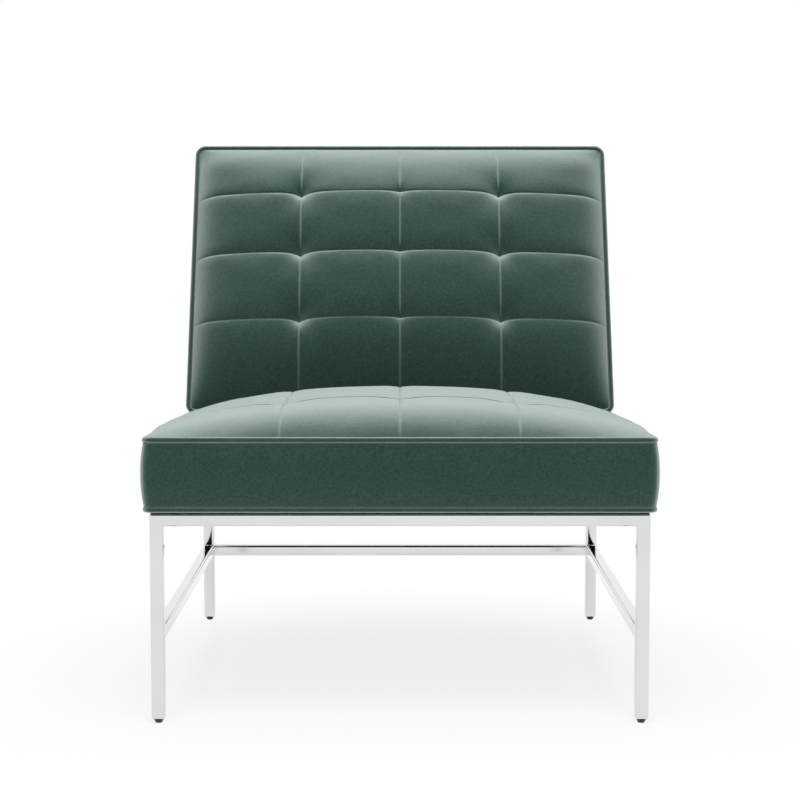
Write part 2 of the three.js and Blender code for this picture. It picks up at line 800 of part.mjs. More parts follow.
const backRest = weltRadius + fitGap; // height of the foot's seam over the seat
const backFootZ = seatEdge(backFootY) + backRest;
const backLean = Math.atan2(backHeadY - backFootY, backHeadZ - backFootZ);
const backLength = Math.hypot(backHeadY - backFootY, backHeadZ - backFootZ);
const upBack = new THREE.Vector3(0, Math.sin(backLean), Math.cos(backLean));
const outOfBack = new THREE.Vector3(0, -Math.cos(backLean), Math.sin(backLean));
const backFoot = new THREE.Vector3(0, backFootY, backFootZ);
const rearFoot = new THREE.Vector3(0, seatRear, seatEdge(seatRear) + backRest);
const rearHead = backFoot.clone()
  .addScaledVector(upBack, backLength)
  .addScaledVector(outOfBack, -backTopThickness);
const upRear = new THREE.Vector3().subVectors(rearHead, rearFoot).normalize();
const rearLength = rearHead.distanceTo(rearFoot);
const rearLean = Math.atan2(upRear.y, upRear.z);
const outOfRear = new THREE.Vector3(0, Math.cos(rearLean), -Math.sin(rearLean));

// A point of the back: across, up the front face and out of it
function backAt(x, up, out) {
  return backFoot.clone().addScaledVector(upBack, up).addScaledVector(outOfBack, out).setX(x);
}

// A point between the front face and the rear face, by its share of the way to the rear
function wedgeAt(x, up, depthShare, rearInset) {
  const front = backAt(x, up, 0);
  const rear = rearFoot.clone().lerp(rearHead, up / backLength).addScaledVector(outOfRear, -rearInset);
  return front.lerp(rear, depthShare).setX(x);
}

const backInset = weltRadius + weltClearance;
const backCoverX = backHalfWidth - backInset;
const backCoverTop = backLength - backInset;
const backColumnSeams = [-backCoverX, -backSideSeam, 0, backSideSeam, backCoverX];
const backRowSeams = [backInset];
for (let i = backRowCount - 1; i >= 0; i -= 1) {
  backRowSeams.push(backLength - backFirstRow - i * backRowSpacing);
}
backRowSeams.push(backCoverTop);
const backForm = {
  columnSeams: backColumnSeams,
  rowSeams: backRowSeams,
  roll: backRoll,
  puff: backPuff,
  groove: backGroove,
  pull: backTuftPull,
};
const backQuilt = backGroove + backTuftPull + 2 * velvet;

function backCrownAt(x, up) {
  const across = crownShare(x, -backCoverX, backCoverX, crownPowerShares.backAcross);
  return backCrown * across * crownShare(up, backInset, backCoverTop, crownPowerShares.backUp);
}

function backSkinPoint(x, up, rise, drop = 0) {
  return backAt(x, up + crownTiltShare * rise, rise - drop);
}

const backColumns = panelLines(backColumnSeams, backRoll);
backColumns[1] = -backCoverX + backCorner;
backColumns[backColumns.length - 2] = backCoverX - backCorner;
const backRows = panelLines(backRowSeams, backRoll);
backRows[1] = backInset + backCorner;
backRows[backRows.length - 2] = backCoverTop - backCorner;

// A point of the plain surface behind the quilting, some way in from the boxing and back
function behindQuilt(i, j, inset, drop) {
  const [column, row] = [plainLine(i, backColumns.length - 1), plainLine(j, backRows.length - 1)];
  const [x, up] = gridPoint(backColumns, backRows, column, row, backCorner, inset);
  return backSkinPoint(x, up, backCrownAt(x, up), backQuilt + drop);
}

function buildBackCover() {
  const face = (i, j) => {
    const [x, up] = gridPoint(backColumns, backRows, i, j, backCorner);
    return backSkinPoint(x, up, backCrownAt(x, up) + tuftedRise(x, up, backForm));
  };
  const wall = (offset, footOffset, depthShare, rearInset) => edgeRing(
    backColumns, backRows, backCorner,
    ({ out }) => (out.y < 0 ? footOffset : offset),
    (x, up) => wedgeAt(x, up, depthShare, rearInset),
  );
  const rearInset = rearPanelThickness + fitGap;
  const rings = boxingShares.map((share) => wall(backInset + backSwell, backInset, share, rearInset));
  const lip = -boxingThickness - lipWidth;
  rings.push(
    wall(0, backInset, 1, rearInset),
    wall(lip, lip, 1, rearInset),
    wall(lip, lip, 1, rearInset + velvet),
    wall(-boxingThickness, backInset - boxingThickness, 1, rearInset + velvet),
  );
  const inside = (i, j) => behindQuilt(i, j, boxingThickness, 0);
  const skin = closedSkin(backColumns, backRows, face, rings, inside);
  piece('back_cover', cut(skin, tongueSlot), velvetGreen);
}

// Where a line parallel to the front face, behind it, or one parallel to the rear face,
// before it, meets the level that lies some way over the seat
function footOf(point, direction, overSeat) {
  const slope = (seatTopRear - seatTopFront) / (seatRear - seatFront);
  const target = seatEdge(point.y) + overSeat;
  const t = (target - point.z) / (direction.z - slope * direction.y);
  return point.clone().addScaledVector(direction, t);
}

// The wedge that the wood of the back fills, as a profile in the YZ plane
const webPlane = -(backFoamDepth + fitGap);
const woodPlane = webPlane - webThickness - fitGap;
const woodHead = backCoverTop - boxingThickness - backPadding;
const rearWoodInset = rearPanelThickness + velvet + 3 * fitGap;
const footLevel = backRest + backInset + boxingThickness + fitGap;
const backWoodX = backCoverX - boxingThickness - backPadding;

function rearWoodAt(headUp) {
  const start = rearFoot.clone().addScaledVector(outOfRear, -rearWoodInset);
  const level = backAt(0, headUp, 0);
  const t = new THREE.Vector3().subVectors(level, start).dot(upBack) / upRear.dot(upBack);
  return start.addScaledVector(upRear, t);
}

function buildBackWood() {
  const frontHead = backAt(0, woodHead, woodPlane);
  const rearTop = rearWoodAt(woodHead);
  const frontFoot = footOf(frontHead, upBack, footLevel);
  const rearBottom = footOf(rearTop, upRear, footLevel);
  const profile = [frontFoot, rearBottom, rearTop, frontHead].map((p) => [p.y, p.z]);
  const innerX = backWoodX - sideFrameThickness;
  for (const [side, sign] of [['left', -1], ['right', 1]]) {
    const fromX = Math.min(sign * innerX, sign * backWoodX);
    const panel = acrossPrism(profile, fromX, fromX + sideFrameThickness);
    piece(`back_side_${side}`, cut(panel, tongueSlot), hardwood);
  }
  const railX = innerX - fitGap;
  const lowHead = woodHead - backRailHeight;
  const topRail = [
    backAt(0, lowHead, woodPlane), backAt(0, lowHead, woodPlane - backRailThickness),
    backAt(0, woodHead, woodPlane - backRailThickness), backAt(0, woodHead, woodPlane),
  ].map((p) => [p.y, p.z]);
  piece('back_rail_top', acrossPrism(topRail, -railX, railX), hardwood);
  const behind = footOf(backAt(0, woodHead, woodPlane - backRailThickness), upBack, footLevel);
  const bottomRail = [
    frontFoot, behind,
    behind.clone().addScaledVector(upBack, backRailHeight),
    frontFoot.clone().addScaledVector(upBack, backRailHeight),
  ].map((p) => [p.y, p.z]);
  piece('back_rail_bottom', cut(acrossPrism(bottomRail, -railX, railX), tongueSlot), hardwood);
}

function buildWebbing() {
  const span = woodHead - 2 * backRailHeight;
  for (let i = 0; i < webCount; i += 1) {
    const middle = backRailHeight + span * ((i + 1) / (webCount + 1));
    const strap = [
      backAt(0, middle - webWidth / 2, webPlane), backAt(0, middle - webWidth / 2, webPlane - webThickness),
      backAt(0, middle + webWidth / 2, webPlane - webThickness), backAt(0, middle + webWidth / 2, webPlane),
    ].map((p) => [p.y, p.z]);
    piece(`back_web_${i + 1}`, acrossPrism(strap, -backWoodX, backWoodX), webbing);
  }
}

function buildBackFoam() {
  const inset = boxingThickness + 2 * fitGap;
  const plane = webPlane + fitGap;
  const foot = footOf(backAt(0, woodHead, plane), upBack, footLevel);
  const upFace = (point) => new THREE.Vector3().subVectors(point, backFoot).dot(upBack);
  const [low, high] = [backInset + inset, backCoverTop - inset];
  const face = (i, j) => behindQuilt(i, j, inset, paddingGap);
  const under = (i, j) => {
    const front = face(i, j);
    const up = THREE.MathUtils.mapLinear(upFace(front), low, high, upFace(foot), high);
    return backAt(front.x, up, plane);
  };
  piece('back_foam', closedSkin(backColumns, backRows, face, [], under), foam);
}

function buildBackWelts() {
  const outline = seamOutline(backHalfWidth, 0, backLength, backCorner + backInset);
  const front = [...outline].reverse().map(([x, up]) => backAt(x, up, 0));
  piece('back_welt_front', welt(front), velvetGreen);
  const radius = backCorner + backInset;
  const x = backHalfWidth - radius;
  const rearRise = weltRadius + 2 * fitGap;
  const open = [
    [backHalfWidth, rearRise],
    ...cornerArc(x, rearLength - radius, radius, 0),
    ...cornerArc(-x, rearLength - radius, radius, Math.PI / 2),
    [-backHalfWidth, rearRise],
  ];
  const rear = open.map(([px, up]) => rearFoot.clone().addScaledVector(upRear, up).setX(px));
  piece('back_welt_rear', welt(rear), velvetGreen);
}

// The outside back: a plain panel of velvet over card that closes the rear
function buildRearPanel() {
  const width = 2 * backCoverX;
  const low = weltClearance;
  const high = rearLength - backInset;
  const panel = prism(roundedRectangle(width, high - low, backCorner), rearPanelThickness);
  panel.translate(0, (high + low) / 2, -rearPanelThickness);
  const turn = new THREE.Matrix4().makeBasis(new THREE.Vector3(-1, 0, 0), upRear, outOfRear);
  turn.setPosition(rearFoot);
  piece('back_rear_panel', panel.applyMatrix4(turn), velvetGreen);
}

function buildTongues() {
  for (const [side, sign] of [['left', -1], ['right', 1]]) {
    const [a, b] = [sign * tongueInnerX, sign * tongueOuterX];
    const low = new THREE.Vector3(Math.min(a, b), tongueFrontY, tongueBottom);
    const high = new THREE.Vector3(Math.max(a, b), tongueRearY, tongueTop);
    const holes = tongueScrewYs.map((y) => acrossRod(
      tongueScrewRadius + fitGap, a - sign * overrun, b + sign * overrun, y, tongueScrewZ,
    ));
    piece(`back_tongue_${side}`, cut(box(low, high), holes), plainSteel);
    const headX = sign * (tongueInnerX - fitGap);
    ['front', 'rear'].forEach((end, i) => {
      const y = tongueScrewYs[i];
      const headEnd = headX - sign * tongueScrewHeadHeight;
      const head = acrossRod(tongueScrewHead, headEnd, headX, y, tongueScrewZ, 6);
      const shankEnd = sign * (tongueInnerX + tongueScrewLength);
      const shank = acrossRod(tongueScrewRadius, headX - sign * tongueScrewHeadHeight / 2, shankEnd, y, tongueScrewZ);
      const screw = geometryOf(solid(head).add(solid(shank)));
      piece(`tongue_screw_${side}_${end}`, screw, plainSteel);
    });
  }
}

buildFrame();
buildCornerPlates();
buildSeatWood();
buildSprings();
buildSeatFoam();
buildSeatCover();
buildSeatWelts();
buildDustCover();
buildBackWood();
buildWebbing();
buildBackFoam();
buildBackCover();
buildBackWelts();
buildRearPanel();
buildTongues();

// The origin lies on the floor, under the middle of the whole chair
chair.updateMatrixWorld(true);
const bounds = new THREE.Box3().setFromObject(chair);
chair.position.y = -(bounds.min.y + bounds.max.y) / 2;
const slipperChair = new THREE.Group();
slipperChair.add(chair);

export default slipperChair;
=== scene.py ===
# %% [markdown]
# Slipper chair, dressed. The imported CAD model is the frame: it says where every piece goes, and this
# script makes the surfaces that are seen. The chair has a welded base of square chrome tube, a boxed
# seat and a wedge-shaped back, both covered in green velvet with sewn tufting. Everything is in metres
# in the CAD's own frame, and the sizes below are in millimetres because that is how they were read.

# %% Load the frame
import math

import bmesh
import bpy
import numpy as np
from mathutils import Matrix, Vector


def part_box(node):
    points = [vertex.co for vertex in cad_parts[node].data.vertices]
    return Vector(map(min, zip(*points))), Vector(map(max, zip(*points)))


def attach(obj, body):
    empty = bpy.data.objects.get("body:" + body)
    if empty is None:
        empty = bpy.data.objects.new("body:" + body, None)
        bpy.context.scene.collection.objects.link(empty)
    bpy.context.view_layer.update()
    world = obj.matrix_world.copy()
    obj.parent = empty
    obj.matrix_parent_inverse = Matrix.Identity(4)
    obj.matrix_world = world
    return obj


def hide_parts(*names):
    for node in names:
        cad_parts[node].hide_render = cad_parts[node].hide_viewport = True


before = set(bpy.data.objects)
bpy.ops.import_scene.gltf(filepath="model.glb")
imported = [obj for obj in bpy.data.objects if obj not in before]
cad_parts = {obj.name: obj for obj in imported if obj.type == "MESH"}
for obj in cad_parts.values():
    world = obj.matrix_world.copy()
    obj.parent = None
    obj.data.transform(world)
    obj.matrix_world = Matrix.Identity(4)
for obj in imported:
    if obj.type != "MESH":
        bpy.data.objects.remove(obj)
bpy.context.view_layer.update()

scene = bpy.context.scene

# %% [markdown]
# The photo was taken a little above seat height, from straight in front. The camera was worked out from
# the legs' edges, so it is placed once, here, and nothing else in the script depends on it. A long lens
# (85 mm) gives the mild perspective in which the rear legs stand inside the front ones.

# %% Camera
CAMERA_BACK = 2.5785  # from the front of the front legs
CAMERA_HEIGHT = 0.676
CAMERA_PITCH = 4.96  # degrees downwards
LEG_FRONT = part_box("leg_front_left")[0][1]


def placed(name, data):
    """A new object of the data, in the scene."""
    made = bpy.data.objects.new(name, data)
    scene.collection.objects.link(made)
    return made


camera_data = bpy.data.cameras.new("camera")
camera_data.lens, camera_data.sensor_width = 85, 36
camera_data.clip_start, camera_data.clip_end = 0.1, 50
camera = placed("camera", camera_data)
camera.location = (0, LEG_FRONT - CAMERA_BACK, CAMERA_HEIGHT)
camera.rotation_euler = (math.radians(90 - CAMERA_PITCH), 0, 0)
scene.camera = camera
print("camera at", tuple(camera.location))

# %% [markdown]
# Material helpers. A node tree is easier to read when each node is one line, so `node` makes a node and
# `fill` sets its inputs, each of them a wire from another node or a plain value. Patterns read Object
# coordinates in metres, so a noise scale of 1000 gives grains of about a millimetre, whatever the piece.

# %% Helpers for node materials
def fill(made, *values, **inputs):
    """Fill a node's inputs, in order or by label, with wires or plain values."""
    targets = [*made.inputs][:len(values)] + [made.inputs[label.replace("_", " ")] for label in inputs]
    for target, value in zip(targets, (*values, *inputs.values())):
        if isinstance(value, bpy.types.NodeSocket):
            made.id_data.links.new(value, target)
        else:
            target.default_value = value
    return made


def node(tree, kind, settings=None, **inputs):
    made = tree.nodes.new(kind)
    for key, value in (settings or {}).items():
        setattr(made, key, value)
    return fill(made, **inputs)


def new_material(name, **inputs):
    """A material, its tree and its shader, which has these inputs."""
    material = bpy.data.materials.new(name)
    material.use_nodes = True
    tree = material.node_tree
    tree.nodes.clear()
    output = tree.nodes.new("ShaderNodeOutputMaterial")
    shader = node(tree, "ShaderNodeBsdfPrincipled", **inputs)
    fill(output, shader.outputs[0])
    return material, tree, shader


def maths(tree, operation, *values, **settings):
    """The result of one sum over wires and plain numbers."""
    made = node(tree, "ShaderNodeMath", {"operation": operation, **settings})
    return fill(made, *values).outputs[0]


def blend(tree, share, first, second):
    """Two shaders mixed by a share."""
    return fill(tree.nodes.new("ShaderNodeMixShader"), share, first, second).outputs[0]


def noise(tree, coordinates, scale, detail=3, roughness=0.55):
    made = node(tree, "ShaderNodeTexNoise", Scale=scale, Detail=detail, Roughness=roughness)
    return fill(made, Vector=coordinates).outputs["Fac"]


def ramp(tree, value, stops):
    made = node(tree, "ShaderNodeValToRGB", Fac=value)
    elements = made.color_ramp.elements
    while len(elements) < len(stops):
        elements.new(0.5)
    for element, (place, colour) in zip(elements, stops):
        element.position = place
        element.color = (*colour, 1)
    return made.outputs["Color"]


def spread(tree, value, low, high):
    return node(tree, "ShaderNodeMapRange", Value=value, To_Min=low, To_Max=high).outputs["Result"]


def bump(tree, height, distance, strength, **after):
    made = node(tree, "ShaderNodeBump", Strength=strength, Distance=distance, **after)
    return fill(made, Height=height).outputs[0]


def object_coordinates(tree, stretch=(1, 1, 1)):
    coordinates = tree.nodes.new("ShaderNodeTexCoord").outputs["Object"]
    if stretch == (1, 1, 1):
        return coordinates
    return node(tree, "ShaderNodeMapping", Vector=coordinates, Scale=stretch).outputs[0]


# %% [markdown]
# Polished chrome. Real chrome is a mirror with a faint haze, and what is seen in it is the room. So the
# base colour stays a light neutral grey, and the detail is in the roughness: a soft cloud of polishing
# marks and finger haze, and hairlines so fine that they only soften the reflections.

# %% Chrome
def chrome_material():
    material, tree, shader = new_material("polished_chrome", Metallic=1)
    coordinates = object_coordinates(tree)
    haze = noise(tree, coordinates, 22, detail=4)
    tint = ramp(tree, noise(tree, coordinates, 6), [(0.3, (0.70, 0.71, 0.72)), (0.7, (0.76, 0.765, 0.77))])
    lines = noise(tree, object_coordinates(tree, (900, 900, 60)), 1, detail=2)
    relief = bump(tree, lines, 0.00002, 0.12)
    fill(shader, Base_Color=tint, Roughness=spread(tree, haze, 0.05, 0.13), Normal=relief)
    return material


chrome = chrome_material()
print(chrome.name, "nodes", len(chrome.node_tree.nodes))

# %% [markdown]
# Cut velvet. Its pile is a forest of short upright threads: looked at from above it swallows light and is
# dark, and looked at along the surface the sides of the threads shine. That shine is painted into the base
# colour by
# the angle of view: with s the sine of the angle between the surface and the line of sight, the photo fits a
# base colour of `dark + s**2 * soft + s**4 * bright`, where soft and bright are painted sheen, from the
# middle of a panel to its rolled edge. A weak real sheen lobe, a fine grain and a slow change of nap do the
# rest.

# %% Velvet
PILE_DARK = (0.0315, 0.0600, 0.0457)
# painted sheen: colours added to the base colour as the surface turns away from the line of sight
PAINTED_SHEEN_SOFT = (0.037, 0.080, 0.064)
PAINTED_SHEEN_BRIGHT = (0.413, 0.425, 0.414)


def tinted(tree, colour, amount, before=(0, 0, 0)):
    """The colour times an amount, added to the colour before it."""
    made = node(tree, "ShaderNodeVectorMath", {"operation": "MULTIPLY_ADD"})
    return fill(made, colour, amount, before).outputs[0]


def velvet_material():
    material, tree, shader = new_material(
        "green_velvet", Roughness=0.95, Specular_IOR_Level=0.05,
        Sheen_Weight=0.1, Sheen_Roughness=0.4, Sheen_Tint=(0.80, 0.92, 0.86, 1),
    )
    coordinates = object_coordinates(tree)
    patches = noise(tree, coordinates, 14, detail=4, roughness=0.6)
    grain = noise(tree, coordinates, 300, detail=3, roughness=0.7)
    strands = noise(tree, coordinates, 1500, detail=2)
    slow = bump(tree, patches, 0.003, 0.25)
    # how far the surface turns from the line of sight; below it paints the sheen into the base colour
    away = node(tree, "ShaderNodeLayerWeight", Blend=0.5, Normal=slow).outputs["Facing"]
    sine_2 = maths(tree, "MULTIPLY", away, maths(tree, "SUBTRACT", 2.0, away))
    sine_4 = maths(tree, "MULTIPLY", sine_2, sine_2)
    speckle = maths(tree, "MULTIPLY", spread(tree, grain, 0.3, 1.7), spread(tree, patches, 0.9, 1.1))
    # painted glint and painted soft sheen, added to the dark pile colour
    painted_glint = maths(tree, "MULTIPLY", sine_4, spread(tree, grain, 0.85, 1.15))
    dark_with_painted_sheen = tinted(tree, PAINTED_SHEEN_SOFT, sine_2, before=tinted(tree, PILE_DARK, speckle))
    colour = tinted(tree, PAINTED_SHEEN_BRIGHT, painted_glint, before=dark_with_painted_sheen)
    fill(shader, Base_Color=colour, Normal=bump(tree, strands, 0.0006, 0.5, Normal=slow))
    return material


velvet = velvet_material()
print(velvet.name, "nodes", len(velvet.node_tree.nodes))

# %% [markdown]
# The plain materials: black nylon for the glides, zinc plate for the fixings, oiled wire for the
# springs, planed wood, the non-woven cloth under the seat, the woven bands of the back and bright wire
# for the staples. Most of these are only seen from below, or not at all, but each has its own grain.

# %% Plain materials
def plain_material(name, low, high, scale, roughness, depth, metallic=0.0, stretch=(1, 1, 1)):
    material, tree, shader = new_material(name, Metallic=metallic)
    grain = noise(tree, object_coordinates(tree, stretch), scale, detail=5)
    fill(
        shader, Base_Color=ramp(tree, grain, [(0.3, low), (0.7, high)]),
        Roughness=spread(tree, grain, *roughness), Normal=bump(tree, grain, depth, 0.4),
    )
    return material


nylon = plain_material("black_nylon", (0.012, 0.012, 0.013), (0.02, 0.02, 0.021), 600, (0.35, 0.5), 0.0001)
zinc = plain_material("zinc_plate", (0.42, 0.43, 0.44), (0.6, 0.6, 0.61), 120, (0.3, 0.5), 0.0001, 1.0)
wire = plain_material("oiled_wire", (0.09, 0.09, 0.095), (0.2, 0.2, 0.2), 90, (0.35, 0.6), 0.0001, 1.0)
wood = plain_material(
    "planed_wood", (0.36, 0.22, 0.11), (0.62, 0.42, 0.24), 14, (0.5, 0.7), 0.0004, stretch=(1, 9, 9),
)
cloth = plain_material("dust_cloth", (0.006, 0.006, 0.006), (0.016, 0.016, 0.017), 700, (0.9, 1.0), 0.0004)
bands = plain_material("webbing", (0.03, 0.025, 0.02), (0.11, 0.09, 0.07), 500, (0.8, 0.95), 0.0006)
bright = plain_material("bright_staple", (0.5, 0.5, 0.51), (0.7, 0.7, 0.7), 300, (0.2, 0.35), 0.00005, 1.0)
print("plain materials", [material.name for material in (nylon, zinc, wire, wood, cloth, bands, bright)])

# %% [markdown]
# Meshes come from lists of points, from bmesh and from Geometry Nodes trees that this script builds. The
# helpers turn each into a plain mesh, and a plain mesh into a finished piece of the chair.

# %% Helpers for meshes and Geometry Nodes
def mesh_of(name, points, edges=(), faces=()):
    mesh = bpy.data.meshes.new(name)
    mesh.from_pydata(points, edges, faces)
    return mesh


def mesh_from(shape, name):
    """A plain mesh from a bmesh, which is freed."""
    mesh = bpy.data.meshes.new(name)
    shape.to_mesh(mesh)
    shape.free()
    return mesh


def modified(carrier, name):
    """The carrier's mesh after its modifiers, as plain data. The carrier is removed."""
    evaluated = carrier.evaluated_get(bpy.context.evaluated_depsgraph_get())
    result = bpy.data.meshes.new_from_object(evaluated)
    result.name = name
    bpy.data.objects.remove(carrier)
    return result


def new_tree(name, inputs):
    tree = bpy.data.node_groups.new(name, "GeometryNodeTree")
    tree.interface.new_socket("Geometry", in_out="INPUT", socket_type="NodeSocketGeometry")
    for label, value in inputs.items():
        tree.interface.new_socket(label, in_out="INPUT", socket_type="NodeSocketFloat").default_value = value
    tree.interface.new_socket("Geometry", in_out="OUTPUT", socket_type="NodeSocketGeometry")
    return tree, tree.nodes.new("NodeGroupInput"), tree.nodes.new("NodeGroupOutput")


def end_tree(tree, geometry, output, material):
    real = fill(tree.nodes.new("GeometryNodeRealizeInstances"), geometry)
    finish = node(tree, "GeometryNodeSetMaterial", Geometry=real.outputs[0], Material=material)
    fill(output, finish.outputs[0])


def made_by(tree, name, values, source):
    """A plain mesh that a tree makes from the source mesh."""
    carrier = placed(name, source)
    modifier = carrier.modifiers.new("nodes", "NODES")
    modifier.node_group = tree
    for item in tree.interface.items_tree:
        if item.in_out == "INPUT" and item.name in values:
            modifier[item.identifier] = values[item.name]
    return modified(carrier, name)


def finished(name, mesh, *stands_for, material=None, slot=None, sharp=None):
    """The finished piece: an object at the origin that rides on the chair."""
    mesh.validate()
    if material:
        mesh.materials.clear()
        mesh.materials.append(material)
    if sharp:
        mesh.shade_smooth()
        mesh.set_sharp_from_angle(angle=math.radians(sharp))
    piece = placed(name, mesh)
    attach(piece, "root")
    if stands_for:
        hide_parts(*stands_for)
    return piece


# %% [markdown]
# The base is eleven lengths of square tube, welded, ground flush and polished before plating, so no
# line shows where they meet. Each tube starts as a sharp bar in its CAD place. The bars are united, the
# outer edges are rounded as the tubes' are, and the inner corners get the small fillet of the weld.

# %% The welded base
TUBE_EDGE = 0.0040
WELD_EDGE = 0.0011
WELD_GAP = 0.0003  # between a tube's end and the face it is welded to


def bar(name):
    """Low and high corner of a CAD tube, a rail reaching over the weld to the next tube's face."""
    low, high = (list(corner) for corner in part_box(name))
    along = max(range(3), key=lambda axis: high[axis] - low[axis])
    if along != 2:
        low[along] -= WELD_GAP
        high[along] += WELD_GAP
    return [[round(value, 5) for value in corner] for corner in (low, high)]


def united(bars):
    """One closed surface round bars that lie along the axes, built cell by cell."""
    cuts = [sorted({corner[axis] for each in bars for corner in each}) for axis in range(3)]
    middles = [np.array(cut[:-1]) / 2 + np.array(cut[1:]) / 2 for cut in cuts]
    x, y, z = np.meshgrid(*middles, indexing="ij")
    solid = np.zeros(x.shape, bool)
    for low, high in bars:
        solid |= (low[0] < x) & (x < high[0]) & (low[1] < y) & (y < high[1]) & (low[2] < z) & (z < high[2])
    solid = np.pad(solid, 1)
    shape = bmesh.new()
    corners = {}
    for axis in range(3):
        step = np.eye(3, dtype=int)[axis]
        u, v = [k for k in range(3) if k != axis]
        for cell in np.argwhere(solid):
            for side in (-1, 1):
                if solid[tuple(cell + side * step)]:
                    continue
                ring = []
                for du, dv in ((0, 0), (1, 0), (1, 1), (0, 1)):
                    place = list(cell - 1)
                    place[u] += du
                    place[v] += dv
                    place[axis] += side > 0
                    key = tuple(int(index) for index in place)
                    if key not in corners:
                        corners[key] = shape.verts.new([cuts[k][key[k]] for k in range(3)])
                    ring.append(corners[key])
                shape.faces.new(ring)
    bmesh.ops.recalc_face_normals(shape, faces=shape.faces)
    bmesh.ops.dissolve_limit(shape, angle_limit=math.radians(2), verts=shape.verts, edges=shape.edges)
    return shape


def rounded_frame(shape):
    """Outer edges rounded like the tube, inner corners with the weld's small fillet."""
    weight = shape.edges.layers.float.new("bevel_weight_edge")
    for edge in shape.edges:
        edge[weight] = 1.0 if edge.is_convex else WELD_EDGE / TUBE_EDGE
    carrier = placed("base", mesh_from(shape, "base_bars"))
    rounding = carrier.modifiers.new("rounding", "BEVEL")
    rounding.width, rounding.segments, rounding.limit_method = TUBE_EDGE, 5, "WEIGHT"
    rounding.miter_outer = "MITER_ARC"
    return modified(carrier, "base_frame")


tubes = [name for name in sorted(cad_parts) if name.startswith(("leg_", "top_rail_", "stretcher_"))]
base_mesh = rounded_frame(united([bar(name) for name in tubes]))
base = finished("base_frame", base_mesh, *tubes, material=chrome, slot="chrome")
base_mesh.shade_smooth()
even = base.modifiers.new("even", "WEIGHTED_NORMAL")
even.keep_sharp, even.weight = False, 50
print("tubes in the base", len(tubes), "faces", len(base_mesh.polygons))

# %% [markdown]
# Piping and staples are lines with a round section. A path is a mesh of edges, and one tree sweeps a
# circle along it, a little uneven where the real thing is.

# %% The tree for lines with a round section
def bead_tree(name, material, sides=8):
    tree, given, output = new_tree(name, {"Radius": 0.001, "Unevenness": 0.0, "Seed": 0.0})
    lines, radius, unevenness, seed = given.outputs[:4]
    place = tree.nodes.new("GeometryNodeInputPosition").outputs[0]
    uneven = node(tree, "ShaderNodeTexNoise", {"noise_dimensions": "4D"}, Scale=60.0, Detail=2.0)
    swing = node(tree, "ShaderNodeMapRange", From_Min=0.2, From_Max=0.8, To_Min=-1.0, To_Max=1.0)
    fill(swing, Value=fill(uneven, Vector=place, W=seed).outputs["Fac"])
    scale = maths(tree, "MULTIPLY_ADD", swing.outputs[0], unevenness, 1.0)
    path = fill(tree.nodes.new("GeometryNodeMeshToCurve"), lines)
    circle = node(tree, "GeometryNodeCurvePrimitiveCircle", Resolution=sides, Radius=radius)
    sweep = node(tree, "GeometryNodeCurveToMesh", Scale=scale, Fill_Caps=True)
    fill(sweep, path.outputs[0], circle.outputs[0])
    smooth = fill(tree.nodes.new("GeometryNodeSetShadeSmooth"), sweep.outputs[0])
    end_tree(tree, smooth.outputs[0], output, material)
    return tree


def path_mesh(name, loops, closed=True):
    """Edges through the points of each loop, for a tree to follow."""
    points, edges = [], []
    for loop in loops:
        first, count = len(points), len(loop)
        points.extend(loop)
        edges.extend((first + k, first + (k + 1) % count) for k in range(count if closed else count - 1))
    return mesh_of(name, points, edges)


# %% [markdown]
# The glides are turned nylon: a short foot with a rounded edge that spreads to a collar under the tube.
# A turned piece is a profile spun round an axis, so its outline is written as a few radii and heights.

# %% Glides
GLIDE_OUTLINE = [  # radius and height, in millimetres
    (0.0, 0.0), (3.6, 0.0), (4.3, 0.12), (4.75, 0.45), (4.95, 1.0), (5.3, 2.2), (6.0, 3.2), (6.6, 3.7),
    (6.9, 4.1), (6.95, 4.6), (6.8, 5.1), (6.4, 5.38), (4.0, 5.4), (4.0, 12.0), (3.4, 13.0), (0.0, 13.0),
]


def turned(name, outline, centre, steps=40):
    """A solid spun round an upright axis, closed at both poles."""
    shape = bmesh.new()
    rings = []
    for radius, height in outline:
        turns = [2 * math.pi * k / steps for k in range(steps if radius else 1)]
        rings.append([shape.verts.new((
            centre[0] + radius / 1000 * math.cos(turn), centre[1] + radius / 1000 * math.sin(turn),
            centre[2] + height / 1000,
        )) for turn in turns])
    for lower, upper in zip(rings, rings[1:]):
        for k in range(steps):
            after = (k + 1) % steps
            if len(lower) == 1:
                shape.faces.new((lower[0], upper[after], upper[k]))
            elif len(upper) == 1:
                shape.faces.new((lower[k], lower[after], upper[0]))
            else:
                shape.faces.new((lower[k], lower[after], upper[after], upper[k]))
    bmesh.ops.recalc_face_normals(shape, faces=shape.faces)
    return mesh_from(shape, name)


for corner in ("front_left", "front_right", "rear_left", "rear_right"):
    low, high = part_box(f"glide_{corner}")
    foot = ((low[0] + high[0]) / 2, (low[1] + high[1]) / 2, low[2])
    name = f"glide_{corner}_turned"
    mesh = turned(name, GLIDE_OUTLINE, foot)
    finished(name, mesh, f"glide_{corner}", material=nylon, slot="glide_nylon", sharp=50)
    print(name, "faces", len(mesh.polygons))

# %% [markdown]
# Sizes of the upholstery, as the CAD has them. `chair_point` takes a place in the chair's own
# millimetres, where Y is zero at the front of the front legs, and gives it in the frame's metres.
# The back has its own axes: `up` its front face and `out` of it.

